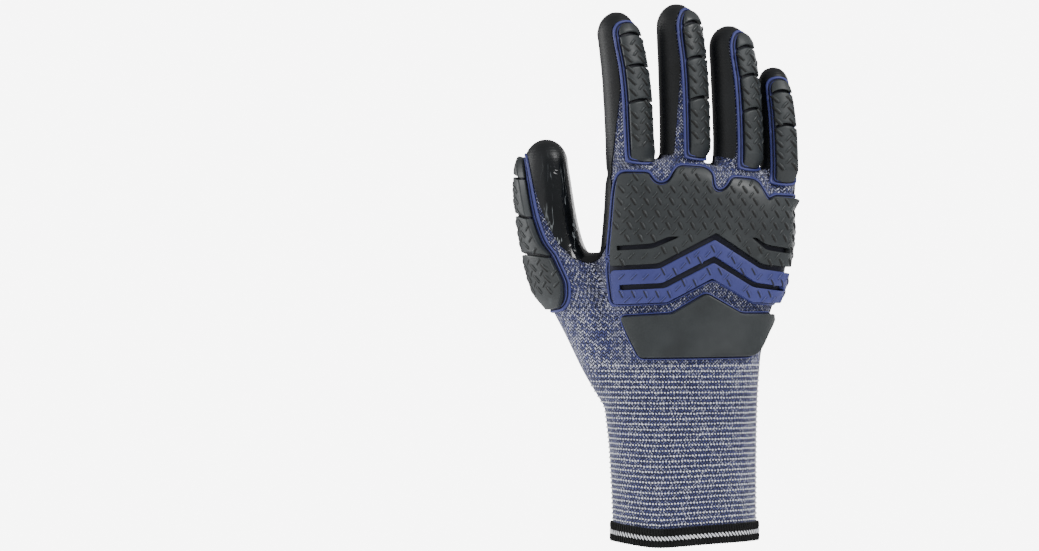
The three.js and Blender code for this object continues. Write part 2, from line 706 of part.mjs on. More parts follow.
const knit = knitSkin();
let palmKnit = knit;
for (const digit of ALL_DIGITS) palmKnit = palmKnit.subtract(digitSpace(digit, PIECE_GAP));
addPiece('knit_liner', palmKnit, 'knit');
for (const digit of ALL_DIGITS) addPiece(`${digit.name}_knit`, knit.intersect(digitSpace(digit, 0)), 'knit');
addPiece('palm_coating', palmCoating(), 'coating');
addPiece('cuff_hem', cuffHem(), 'hem');
addPiece('back_guard_base', backGuardBase(), 'blueRubber');
addPiece('knuckle_guard', knuckleGuard(), 'blackRubber');
addPiece('chevron_guard', chevronGuard(), 'blueRubber');
addPiece('wrist_guard_base', wristGuardBase(), 'blueRubber');
addPiece('wrist_guard', wristGuard(), 'blackRubber');
const sheetSeat = solidOf(palmSkin(SHEET_SEAT, 0));
const padSeat = solidOf(palmSkin(PAD_SEAT, 0));
for (const digit of ALL_DIGITS) {
  addPiece(`${digit.name}_guard_base`, guardSheet(digit, sheetSeat), 'blueRubber');
  addPiece(`${digit.name}_guard`, guardPad(digit, padSeat), 'blackRubber');
}

export default glove;
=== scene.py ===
"""A right-hand knitted work glove with a coated palm and moulded impact guards on its back.

Lengths are in millimetres in the sizes below and in metres in the meshes. The fingers point up (+Z),
the back of the hand faces -Y, the thumb is on the -X side.
"""

import sys
import logging
import math
from dataclasses import dataclass
from enum import Enum
from typing import Callable, Sequence

import bmesh
import bpy
import numpy as np
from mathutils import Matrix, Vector
from mathutils.bvhtree import BVHTree


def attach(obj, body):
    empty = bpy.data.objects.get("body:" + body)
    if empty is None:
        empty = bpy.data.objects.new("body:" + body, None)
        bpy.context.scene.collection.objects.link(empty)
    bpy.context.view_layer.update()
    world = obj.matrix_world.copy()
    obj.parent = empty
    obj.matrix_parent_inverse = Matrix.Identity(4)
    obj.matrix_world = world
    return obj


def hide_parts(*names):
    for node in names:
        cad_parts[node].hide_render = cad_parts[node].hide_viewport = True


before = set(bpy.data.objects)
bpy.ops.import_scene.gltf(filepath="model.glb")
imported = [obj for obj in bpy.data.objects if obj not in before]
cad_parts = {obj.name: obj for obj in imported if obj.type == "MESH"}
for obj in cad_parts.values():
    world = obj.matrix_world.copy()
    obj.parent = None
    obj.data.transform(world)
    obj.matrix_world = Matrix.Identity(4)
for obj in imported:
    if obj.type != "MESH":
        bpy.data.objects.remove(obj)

MM = 0.001
LOG = logging.getLogger("glove")
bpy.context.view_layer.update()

# The camera's place in millimetres: across, up and away from the glove.
EYE_X, EYE_Z, EYE_AWAY = -77.4, 125.3, 1610.0

Array = np.ndarray
Colour = tuple[float, float, float]
Row = tuple[float, ...]
Corner = tuple[float, ...]
Spot = tuple[float, float, float]
Piece = bpy.types.Object
Socket = bpy.types.NodeSocket
Shaper = Callable[[Array, Array], Array]


def smooth_table(keys: Sequence[float], values: Sequence[float], at: Array) -> Array:
    """Reads a table of sizes along a smooth curve that never overshoots its rows.

    Args:
        keys: Rising heights of the rows.
        values: The size in each row.
        at: Heights to read it at.

    Returns:
        The size at each height.
    """
    x = np.asarray(keys, float)
    y = np.asarray(values, float)
    step = np.diff(x)
    rise = np.diff(y) / step
    slope = np.zeros_like(x)
    for i in range(1, len(x) - 1):
        if rise[i - 1] * rise[i] > 0:
            low, high = 2 * step[i] + step[i - 1], step[i] + 2 * step[i - 1]
            slope[i] = (low + high) / (low / rise[i - 1] + high / rise[i])
    slope[0], slope[-1] = rise[0], rise[-1]
    q = np.clip(np.asarray(at, float), x[0], x[-1])
    i = np.clip(np.searchsorted(x, q, side="right") - 1, 0, len(x) - 2)
    t = (q - x[i]) / step[i]
    h00, h10 = (1 + 2 * t) * (1 - t) ** 2, t * (1 - t) ** 2
    h01, h11 = t * t * (3 - 2 * t), t * t * (t - 1)
    return h00 * y[i] + h10 * step[i] * slope[i] + h01 * y[i + 1] + h11 * step[i] * slope[i + 1]


def unit(vectors: Array) -> Array:
    """Scales each row of an array of vectors to length one."""
    return vectors / np.maximum(np.linalg.norm(vectors, axis=-1, keepdims=True), 1e-12)


def lengths(line: Array) -> Array:
    """Length along a line at each of its points, 0 at the first."""
    return np.concatenate([[0], np.cumsum(np.linalg.norm(np.diff(line, axis=0), axis=1))])


def powered(values: Array, power: Array | float) -> Array:
    """Raises values to a power and keeps their signs, which squares or sharpens a round section."""
    return np.sign(values) * np.abs(values) ** power


class Bench:
    """The workbench: adds, shapes and finishes meshes with Blender's own tools."""

    @staticmethod
    def clear() -> None:
        """Deselects everything and leaves edit mode."""
        if bpy.context.object and bpy.context.object.mode != "OBJECT":
            bpy.ops.object.mode_set(mode="OBJECT")
        bpy.ops.object.select_all(action="DESELECT")

    @staticmethod
    def pick(piece: Piece) -> None:
        """Selects one object alone and makes it active."""
        Bench.clear()
        piece.select_set(True)
        bpy.context.view_layer.objects.active = piece

    @staticmethod
    def points(piece: Piece) -> Array:
        """Returns a mesh's points as an array."""
        flat = np.empty(len(piece.data.vertices) * 3)
        piece.data.vertices.foreach_get("co", flat)
        return flat.reshape(-1, 3)

    @staticmethod
    def move(piece: Piece, points: Array) -> None:
        """Puts a mesh's points at new places."""
        piece.data.vertices.foreach_set("co", np.ascontiguousarray(points, float).ravel())
        piece.data.update()

    @staticmethod
    def sheet(name: str, columns: int, rows: int, shape: Shaper) -> Piece:
        """Adds a grid and lays it on a surface.

        Args:
            name: The piece's name.
            columns: Faces across.
            rows: Faces up.
            shape: Gives the place in metres for shares across and up from 0 to 1.

        Returns:
            The shaped piece.
        """
        Bench.clear()
        bpy.ops.mesh.primitive_grid_add(x_subdivisions=columns, y_subdivisions=rows, size=1)
        piece = bpy.context.object
        piece.name = piece.data.name = name
        flat = Bench.points(piece)
        Bench.move(piece, shape(np.clip(flat[:, 0] + 0.5, 0, 1), np.clip(flat[:, 1] + 0.5, 0, 1)))
        return piece

    @staticmethod
    def weld(piece: Piece, gap: float = 1e-5) -> None:
        """Merges points that meet and turns all faces outwards."""
        Bench.pick(piece)
        bpy.ops.object.mode_set(mode="EDIT")
        bpy.ops.mesh.select_all(action="SELECT")
        bpy.ops.mesh.remove_doubles(threshold=gap)
        bpy.ops.mesh.select_all(action="SELECT")
        bpy.ops.mesh.dissolve_degenerate(threshold=gap)
        bpy.ops.mesh.select_all(action="SELECT")
        bpy.ops.mesh.normals_make_consistent(inside=False)
        bpy.ops.object.mode_set(mode="OBJECT")

    @staticmethod
    def modify(piece: Piece, kind: str, **settings: object) -> None:
        """Adds a modifier with its settings and applies it."""
        Bench.pick(piece)
        made = piece.modifiers.new(kind.title(), kind)
        for key, value in settings.items():
            setattr(made, key, value)
        bpy.ops.object.modifier_apply(modifier=made.name)

    @staticmethod
    def join(name: str, parts: Sequence[Piece]) -> Piece:
        """Joins several meshes into one object."""
        Bench.clear()
        for part in parts:
            part.select_set(True)
        bpy.context.view_layer.objects.active = parts[0]
        if len(parts) > 1:
            bpy.ops.object.join()
        parts[0].name = parts[0].data.name = name
        return parts[0]

    @staticmethod
    def copy(piece: Piece, name: str) -> Piece:
        """Copies a piece with a mesh of its own."""
        Bench.pick(piece)
        bpy.ops.object.duplicate(linked=False)
        made = bpy.context.object
        made.name = made.data.name = name
        return made

    @staticmethod
    def ball(segments: int, rings: int) -> tuple[Array, list[tuple[int, ...]]]:
        """Points and faces of a small round ball, the start of every stitch."""
        Bench.clear()
        bpy.ops.mesh.primitive_uv_sphere_add(segments=segments, ring_count=rings, radius=1)
        made = bpy.context.object
        points = Bench.points(made)
        faces = [tuple(face.vertices) for face in made.data.polygons]
        Bench.drop(made)
        return points, faces

    @staticmethod
    def sow(name: str, places: Array, faces: Sequence[tuple[int, ...]]) -> Piece:
        """Makes one piece of many equal stitches.

        Args:
            name: The piece's name.
            places: The points of each stitch, in millimetres.
            faces: The faces of one stitch.

        Returns:
            The piece.
        """
        size = places.shape[1]
        every = [tuple(i + n * size for i in face) for n in range(len(places)) for face in faces]
        mesh = bpy.data.meshes.new(name)
        mesh.from_pydata((places.reshape(-1, 3) * MM).tolist(), [], every)
        piece = bpy.data.objects.new(name, mesh)
        bpy.context.scene.collection.objects.link(piece)
        return piece

    @staticmethod
    def drop(piece: Piece) -> None:
        """Deletes a helper piece and its mesh."""
        mesh = piece.data
        bpy.data.objects.remove(piece, do_unlink=True)
        bpy.data.meshes.remove(mesh)

    @staticmethod
    def smooth(piece: Piece, degrees: float | None = None) -> None:
        """Shades a piece smooth, all over or up to an edge angle."""
        Bench.pick(piece)
        if degrees is None:
            bpy.ops.object.shade_smooth()
        else:
            bpy.ops.object.shade_smooth_by_angle(angle=math.radians(degrees))


class Nodes:
    """A small hand for wiring a material's node tree."""

    def __init__(self, name: str) -> None:
        """Starts an empty material with one principled shader."""
        self.material = bpy.data.materials.new(name)
        self.material.use_nodes = True
        self.tree = self.material.node_tree
        self.tree.nodes.clear()
        self.out = self.tree.nodes.new("ShaderNodeOutputMaterial")
        self.shader = self.tree.nodes.new("ShaderNodeBsdfPrincipled")
        self.tree.links.new(self.shader.outputs[0], self.out.inputs[0])

    def add(self, kind: str, inputs: dict | None = None, **settings: object) -> bpy.types.Node:
        """Adds a node, sets its options and links or sets its inputs."""
        node = self.tree.nodes.new(kind)
        for key, value in settings.items():
            setattr(node, key, value)
        for key, value in (inputs or {}).items():
            self.feed(node.inputs[key], value)
        return node

    def feed(self, socket: Socket, value: object) -> None:
        """Links a socket to another, or sets its value."""
        if isinstance(value, Socket):
            self.tree.links.new(value, socket)
        else:
            socket.default_value = value

    def math(self, operation: str, *values: object) -> Socket:
        """Adds a math node over the values and returns its result."""
        node = self.add("ShaderNodeMath", dict(enumerate(values)), operation=operation)
        return node.outputs[0]

    def times(self, first: object, second: object) -> Socket:
        """Multiplies two values."""
        return self.math("MULTIPLY", first, second)

    def plus(self, first: object, second: object) -> Socket:
        """Adds two values."""
        return self.math("ADD", first, second)

    def mix(self, share: object, first: object, second: object, blend: str = "MIX") -> Socket:
        """Blends two colours by a share."""
        node = self.add("ShaderNodeMix", data_type="RGBA", blend_type=blend)
        for index, value in ((0, share), (6, first), (7, second)):
            self.feed(node.inputs[index], value)
        return node.outputs[2]

    def ramp(self, value: object, stops: Sequence[tuple[float, Colour]]) -> Socket:
        """Turns a value into a colour between the stops."""
        node = self.tree.nodes.new("ShaderNodeValToRGB")
        band = node.color_ramp.elements
        while len(band) > 1:
            band.remove(band[-1])
        band[0].position, band[0].color = stops[0][0], (*stops[0][1], 1)
        for place, colour in stops[1:]:
            band.new(place).color = (*colour, 1)
        self.feed(node.inputs[0], value)
        return node.outputs[0]

    def noise(self, where: object, scale: float, detail: float = 2.0, rough: float = 0.5) -> Socket:
        """Adds a noise texture and returns its value."""
        inputs = {"Vector": where, "Scale": scale, "Detail": detail, "Roughness": rough}
        return self.add("ShaderNodeTexNoise", inputs).outputs[0]

    def place(self) -> Socket:
        """Returns the object coordinates."""
        return self.add("ShaderNodeTexCoord").outputs["Object"]

    def spread(self, value: object, low: float, high: float, first: float = 0.0,
               last: float = 1.0) -> Socket:
        """Turns a value's range from low to high into the range from first to last."""
        return self.add("ShaderNodeMapRange", {0: value, 1: low, 2: high, 3: first, 4: last}).outputs[0]

    def uv(self, name: str) -> tuple[Socket, Socket]:
        """Returns the two values of a named UV map."""
        split = self.add("ShaderNodeSeparateXYZ", {0: self.add("ShaderNodeUVMap", uv_map=name).outputs[0]})
        return split.outputs[0], split.outputs[1]

    def bump(self, height: object, reach: float, strength: float = 1.0) -> None:
        """Links a height to the shader's normal."""
        node = self.add("ShaderNodeBump", {"Height": height, "Distance": reach, "Strength": strength})
        self.feed(self.shader.inputs["Normal"], node.outputs[0])

    def set(self, **sockets: object) -> None:
        """Sets or links the shader's own sockets; an underscore in a name stands for a blank."""
        for key, value in sockets.items():
            self.feed(self.shader.inputs[key.replace("_", " ")], value)


@dataclass(frozen=True)
class RubberFinish:
    """Moulded rubber with a fine satin skin, paler worn edges and painted shade that darkens its recesses.
    """

    name: str
    dark: Colour
    light: Colour
    roughness: float = 0.5

    def wire(self, n: Nodes) -> None:
        """Wires the material's nodes."""
        place = n.place()
        broad = n.noise(place, 55.0, 3.0, 0.6)
        fine = n.noise(place, 900.0, 3.0, 0.7)
        worn = n.add("ShaderNodeNewGeometry").outputs["Pointiness"]
        edge = n.spread(worn, 0.52, 0.62, 0.0, 0.3)
        shade = n.plus(n.times(broad, 0.6), edge)
        base = n.ramp(shade, [(0.2, self.dark), (0.75, self.light)])
        # Painted shade: ambient occlusion darkens the colour in recesses and at the feet of raised parts.
        painted_hollow_shade = n.add("ShaderNodeAmbientOcclusion", {"Distance": 0.0012}, samples=6).outputs["AO"]
        unshaded_share = n.spread(painted_hollow_shade, 0.45, 0.92)
        colour = n.mix(unshaded_share, (*(c * 0.2 for c in self.dark), 1), base)
        rough = n.spread(broad, 0.3, 0.7, self.roughness - 0.07, self.roughness + 0.08)
        n.set(Base_Color=colour, Roughness=rough, IOR=1.5)
        n.bump(fine, 0.00006, 0.5)


@dataclass(frozen=True)
class CoatingFinish:
    """Foamed rubber coating: nearly black and matt, smooth and wet where it is thick, with thin pale
    painted highlights along its wet wrinkles.
    """

    name: str = "palm_foam"
    dark: Colour = (0.0026, 0.0032, 0.004)
    light: Colour = (0.0068, 0.0082, 0.0102)

    def wire(self, n: Nodes) -> None:
        """Wires the material's nodes."""
        place = n.place()
        broad = n.noise(place, 60.0, 4.0, 0.6)
        grain = n.noise(place, 1300.0, 3.0, 0.8)
        rows = {"Vector": place, "Scale": 230.0, "Distortion": 3.0, "Detail": 2.0}
        wales = n.add("ShaderNodeTexWave", rows, bands_direction="Z").outputs["Fac"]
        colour = n.ramp(broad, [(0.3, self.dark), (0.7, self.light)])
        wet = n.add("ShaderNodeAttribute", attribute_name="wet").outputs["Fac"]
        rough = n.spread(wet, 0.0, 1.0, 0.48, 0.14)
        # Painted highlights: thin pale lines mixed into the base colour where the wet coat's wrinkles catch
        # the light.
        stretched = n.add("ShaderNodeMapping", {"Vector": place, "Scale": (1.0, 1.0, 0.12)}).outputs[0]
        level = n.noise(stretched, 190.0, 3.0, 0.55)
        off = n.math("ABSOLUTE", n.math("SUBTRACT", level, 0.53))
        line = n.spread(off, 0.002, 0.011, 1.0, 0.0)
        patch = n.spread(n.noise(place, 70.0, 2.0, 0.5), 0.47, 0.6)
        crinkle_highlight = n.times(n.times(line, patch), wet)
        highlighted_colour = n.mix(n.times(crinkle_highlight, 0.7), colour, (0.42, 0.46, 0.48, 1))
        n.set(Base_Color=highlighted_colour, Roughness=rough, IOR=1.4)
        foam = n.plus(n.times(grain, 0.8), n.times(wales, 0.35))
        dry = n.math("SUBTRACT", 1.0, wet)
        folds = {"Vector": place, "Scale": 260.0, "Detail": 4.0, "Distortion": 1.6}
        creases = n.add("ShaderNodeTexNoise", folds, noise_type="RIDGED_MULTIFRACTAL").outputs[0]
        film = n.times(n.times(creases, wet), 1.2)
        n.bump(n.plus(n.times(foam, dry), film), 0.0002, 0.6)


@dataclass(frozen=True)
class KnitFinish:
    """Melange jersey: rows of small V stitches whose legs show a dark and a pale ply of the yarn.

    Below cuff_top the yarn has fewer flecks, because white threads run there; calm says by how much.
    """

    name: str
    navy: Colour
    blue: Colour
    pale: Colour
    fleck: Colour
    cuff_top: float = 0.078
    calm: float = 0.13

    def wire(self, n: Nodes) -> None:
        """Wires the material's nodes."""
        across, up = n.uv("weave")
        share = n.math("FRACT", across)
        lean = n.math("ABSOLUTE", n.math("SUBTRACT", share, 0.5))
        course = n.plus(up, n.times(lean, 1.3))
        along = n.math("FRACT", course)
        leg = n.math("SINE", n.times(lean, 2 * math.pi))
        loop = n.times(n.math("SINE", n.times(along, math.pi)), leg)
        side = n.math("FLOOR", n.times(across, 2.0))
        half = n.math("FLOOR", n.times(course, 2.0))
        cell = {"Vector": n.add("ShaderNodeCombineXYZ", {0: side, 1: half, 2: 0.0}).outputs[0]}
        chance = n.add("ShaderNodeTexWhiteNoise", cell, noise_dimensions="2D").outputs[0]
        ply = n.math("FLOORED_MODULO", n.plus(side, half), 2.0)
        place = n.place()
        height = n.add("ShaderNodeSeparateXYZ", {0: place}).outputs[2]
        calm = n.spread(height, self.cuff_top, self.cuff_top + 0.008, self.calm, 0.0)
        clump = n.noise(place, 300.0, 2.0, 0.6)
        drawn = n.plus(n.times(ply, 0.5), n.times(chance, 0.36))
        drawn = n.plus(drawn, n.times(clump, 0.08))
        stops = [(0.14, self.navy), (0.42, self.blue), (0.62, self.pale), (0.88, self.fleck)]
        yarn = n.ramp(n.math("SUBTRACT", drawn, calm), stops)
        # Painted shade: each stitch's colour darkens from the middle of its loop towards the gaps between
        # loops.
        shade = n.plus(0.24, n.times(loop, 1.1))
        painted_loop_shade = n.add("ShaderNodeCombineColor", {0: shade, 1: shade, 2: shade}).outputs[0]
        colour = n.mix(1.0, yarn, painted_loop_shade, "MULTIPLY")
        n.set(Base_Color=colour, Roughness=0.9, Sheen_Weight=0.25, Sheen_Roughness=0.5)
        n.bump(loop, 0.0004, 0.8)


@dataclass(frozen=True)
class ThreadFinish:
    """Plied sewing thread or covered elastic yarn."""

    name: str
    colour: Colour
    shade: Colour

    def wire(self, n: Nodes) -> None:
        """Wires the material's nodes."""
        place = n.place()
        ply = n.noise(place, 2400.0, 2.0, 0.6)
        tone = n.noise(place, 160.0, 2.0, 0.5)
        both = n.plus(n.times(ply, 0.5), n.times(tone, 0.5))
        colour = n.ramp(both, [(0.3, self.shade), (0.6, self.colour)])
        n.set(Base_Color=colour, Roughness=0.88, Specular_IOR_Level=0.2, Sheen_Weight=0.05)
        n.bump(ply, 0.00012, 0.6)


class Finish(Enum):
    """The finishes of the glove."""

    KNIT = KnitFinish("melange_knit", (0.004, 0.005, 0.026), (0.033, 0.039, 0.175),
                      (0.088, 0.102, 0.3), (0.72, 0.74, 0.92))
    COATING = CoatingFinish()
    BLACK_RUBBER = RubberFinish("moulded_black", (0.0195, 0.0235, 0.0255), (0.0445, 0.0525, 0.0565), 0.47)
    # Painted shade: black rubber as it looks in shadow, for the painted shadows beside tread marks.
    BLACK_PAINTED_SHADE = RubberFinish("black_painted_shade", (0.002, 0.0022, 0.0022), (0.005, 0.0055, 0.0055), 0.7)
    BLUE_RUBBER = RubberFinish("moulded_blue", (0.035, 0.04, 0.18), (0.066, 0.075, 0.28), 0.5)
    # Painted shade: blue rubber as it looks in shadow, for slot floors, grooves, flex grooves and tread
    # shadows.
    BLUE_PAINTED_SHADE = RubberFinish("blue_painted_shade", (0.006, 0.007, 0.022), (0.012, 0.014, 0.04), 0.6)
    BLACK_THREAD = ThreadFinish("black_thread", (0.009, 0.0095, 0.01), (0.002, 0.002, 0.002))
    WHITE_THREAD = ThreadFinish("white_thread", (0.97, 0.98, 1.0), (0.66, 0.68, 0.76))

    def material(self) -> bpy.types.Material:
        """Builds the material at its first use and returns it."""
        made = bpy.data.materials.get(self.value.name)
        if made:
            return made
        nodes = Nodes(self.value.name)
        self.value.wire(nodes)
        return nodes.material

    def dress(self, piece: Piece) -> None:
        """Gives a piece this finish as its only material."""
        piece.data.materials.clear()
        piece.data.materials.append(self.material())


@dataclass(frozen=True)
class PalmForm:
    """The cuff and palm as smooth rounded sections, in millimetres.

    Each section has a height, its left and right edge, its depth, the place of its middle, its turn
    towards the thumb, how square it is and how far it follows the falling line of the webs.
    """

    sections: tuple[Row, ...] = (
        (-12.0, -33.9, 32.5, 41.0, 0.0, 0.0, 2.1, 0.0),
        (0.0, -33.9, 32.5, 41.0, 0.0, 0.0, 2.1, 0.0),
        (40.8, -35.5, 32.7, 39.8, 0.4, 0.15, 2.1, 0.0),
        (85.0, -40.5, 34.4, 36.9, 1.4, 0.45, 2.2, 0.0),
        (100.7, -41.8, 37.0, 35.0, 2.0, 0.6, 2.3, 0.0),
        (129.4, -40.0, 44.4, 32.0, 1.3, 0.8, 2.5, 0.3),
        (161.9, -37.4, 47.2, 27.7, 0.7, 1.0, 2.5, 0.8),
        (171.1, -37.0, 46.6, 25.4, 0.5, 1.0, 2.4, 1.0),
        (176.2, -35.6, 45.6, 20.5, 0.3, 1.0, 2.3, 1.0),
        (179.5, -32.6, 43.8, 12.5, 0.3, 1.0, 2.2, 1.0),
    )
    turn: float = 0.17
    web_fall: float = 0.005
    web_peak: float = -9.7
    sides: int = 180

    def column(self, index: int, heights: Array) -> Array:
        """Reads one column of the sections at several heights."""
        keys = [row[0] for row in self.sections]
        return smooth_table(keys, [row[index] for row in self.sections], heights)

    def fall(self, x: Array) -> Array:
        """How far the line of the webs lies below its highest place."""
        return self.web_fall * (x - self.web_peak) ** 2

    def point(self, angle: Array, height: Array, follow: bool = True) -> Array:
        """A point on the palm's skin, the angle from the little finger side towards the palm side.

        Args:
            angle: Radians round the section.
            height: Height of the section.
            follow: Whether the section bends down with the line of the webs.

        Returns:
            Points in millimetres.
        """
        left, right, deep, back, slope, square, web = (self.column(i, height) for i in range(1, 8))
        middle = (left + right) / 2
        cosine, sine = np.cos(angle), np.sin(angle)
        x = middle + (right - left) / 2 * powered(cosine, 2 / square)
        y = back + deep / 2 * powered(sine, 2 / square) + slope * self.turn * (x - middle)
        z = height - (web * self.fall(x) if follow else 0)
        return np.stack([x, y, z], axis=-1)

    def girth(self, height: float) -> tuple[Array, Array]:
        """The section at a height as points along the back from thumb side to the palm's far edge.

        Returns:
            Lengths along the section, 0 at its middle, and the points there.
        """
        angle = np.linspace(-math.pi * 1.18, math.pi * 0.35, 420)
        ring = self.point(angle, np.full_like(angle, height), follow=False)
        along = lengths(ring[:, :2])
        middle = np.interp(-math.pi / 2, angle, along)
        return along - middle, ring


@dataclass(frozen=True)
class DigitForm:
    """A finger or the thumb: its sections along its length, in millimetres and shares."""

    name: str
    length: float
    width: float
    tip_start: float
    rows: tuple[Row, ...]
    guard: tuple[Spot, ...]
    foot: float
    head: float
    grooves: tuple[float, ...]
    web: float
    sides: int = 64

    def section(self, up: Array) -> tuple[Array, Array, Array, Array, Array]:
        """Middle, height, half width and half depth of the section at a share of the length."""
        low = np.minimum(up, self.tip_start)
        keys = [row[0] for row in self.rows]
        x, y, wide, deep = (smooth_table(keys, [row[i] for row in self.rows], low) for i in range(1, 5))
        return x, y, self.web + up * self.length, wide, deep

    def point(self, degrees: Array, up: Array) -> Array:
        """A point on the skin: 0 degrees faces the back of the hand, 90 the little finger side."""
        x, y, z, wide, deep = self.section(up)
        angle = np.radians(degrees)
        rise = np.clip((up - self.tip_start) / (1 - self.tip_start), 0, 1)
        shrink = np.sqrt(1 - rise**2)
        return np.stack([x + wide * shrink * np.sin(angle), y - deep * shrink * np.cos(angle), z], axis=-1)

    def normal(self, degrees: Array, up: Array) -> Array:
        """The outward direction of the skin at a point."""
        _, _, _, wide, deep = self.section(up)
        angle = np.radians(degrees)
        rise = np.clip((up - self.tip_start) / (1 - self.tip_start), 0, 1)
        shrink = np.sqrt(1 - rise**2)
        tip = (1 - self.tip_start) * self.length
        parts = [shrink * np.sin(angle) / wide, -shrink * np.cos(angle) / deep, rise / tip]
        return unit(np.stack(parts, axis=-1))

    def edges(self, up: Array) -> tuple[Array, Array]:
        """First and last angle of the guard at a height."""
        keys = [row[0] for row in self.guard]
        first = smooth_table(keys, [row[1] for row in self.guard], up)
        last = smooth_table(keys, [row[2] for row in self.guard], up)
        return first, last


def finger(name: str, length: float, width: float, root: float, lean: float, back: float,
           first: float, last: float, foot: float, head: float, grooves: tuple[float, ...]) -> DigitForm:
    """Lays out one finger from its sizes.

    Args:
        name: The finger's name.
        length: From the web to the tip.
        width: Across the finger.
        root: The root's place from the wrist's middle line.
        lean: How far the tip leans sideways.
        back: How far the root lies towards the palm.
        first: First angle of the guard.
        last: Last angle of the guard.
        foot: Where the guard starts, as a share of the length.
        head: Where it ends.
        grooves: Its flex grooves.

    Returns:
        The finger's form.
    """
    palm = PalmForm()
    bend, middle = 4.0, palm.turn * root + back
    shape = ((-0.24, 0, 0, 0.14, 0.6), (0.0, 0, 0, 0.02, 1.04), (0.2, 0.06, 0.08, 0, 1.0),
             (0.45, 0.2, 0.3, 0, 1.0), (0.65, 0.42, 0.55, 0, 0.97), (0.86, 0.82, 0.9, 0, 0.9))
    rows = tuple((up, root * (1 - tuck) + share * lean, middle + fore * bend,
                  wide * width / 2, wide * width * 0.45) for up, share, fore, tuck, wide in shape)
    turn = ((0, 0, 0), (0.05, 0, 0), (0.4, 0, 0), (0.62, -1, -2), (0.8, -4, -5), (0.86, -4, -7),
            (0.9, -2, -11), (0.945, 6, -20), (1.0, 12, -30))
    guard = tuple((up, first + a, last + b) for up, a, b in turn)
    web = 177.6 - float(palm.fall(np.array(root)))
    return DigitForm(name, length, width, 0.86, rows, guard, foot, head, grooves, web)


def thumb() -> DigitForm:
    """Lays out the thumb."""
    width, reach = 22.2, 65.0
    shape = ((-1.24, 0.235, 0.1, 1.89, 1.45), (-0.86, 0.385, 0.14, 2.16, 1.48),
             (-0.55, 0.535, 0.17, 2.05, 1.42), (-0.15, 0.8, 0.19, 1.44, 1.21),
             (0.16, 0.925, 0.2, 1.06, 1.05), (0.63, 0.99, 0.22, 0.95, 0.92), (0.81, 1.0, 0.23, 0.86, 0.83))
    rows = tuple((up, -out * reach, back * width, wide * width / 2, deep * width / 2)
                 for up, out, back, wide, deep in shape)
    guard = ((-0.43, -108, -66), (-0.39, -114, -45), (-0.31, -118, -26), (-0.23, -120, -15),
             (-0.15, -121, -8), (0.04, -125, -6), (0.16, -127, -18), (0.36, -130, -29), (0.63, -133, -38),
             (0.81, -131, -52), (0.86, -124, -58), (1.0, -110, -70))
    return DigitForm("thumb", 56.6, width, 0.81, rows, guard, -0.4, 0.845, (0.041, 0.361, 0.683), 131.6)


FINGERS = (
    finger("index", 71.2, 18.6, -27.46, -5.98, 0.0, -9, 78, 0.022, 0.908, (0.405, 0.632, 0.838)),
    finger("middle", 74.0, 19.2, -1.85, -3.08, 0.0, 2, 84, 0.03, 0.938, (0.393, 0.648, 0.862)),
    finger("ring", 69.2, 19.0, 23.14, -3.52, 0.0, 4, 82, 0.037, 0.93, (0.421, 0.65, 0.84)),
    finger("little", 59.2, 15.3, 43.65, -2.64, 2.64, -28, 70, 0.081, 0.88, (0.519, 0.786)),
)
DIGITS = (*FINGERS, thumb())
PALM = PalmForm()


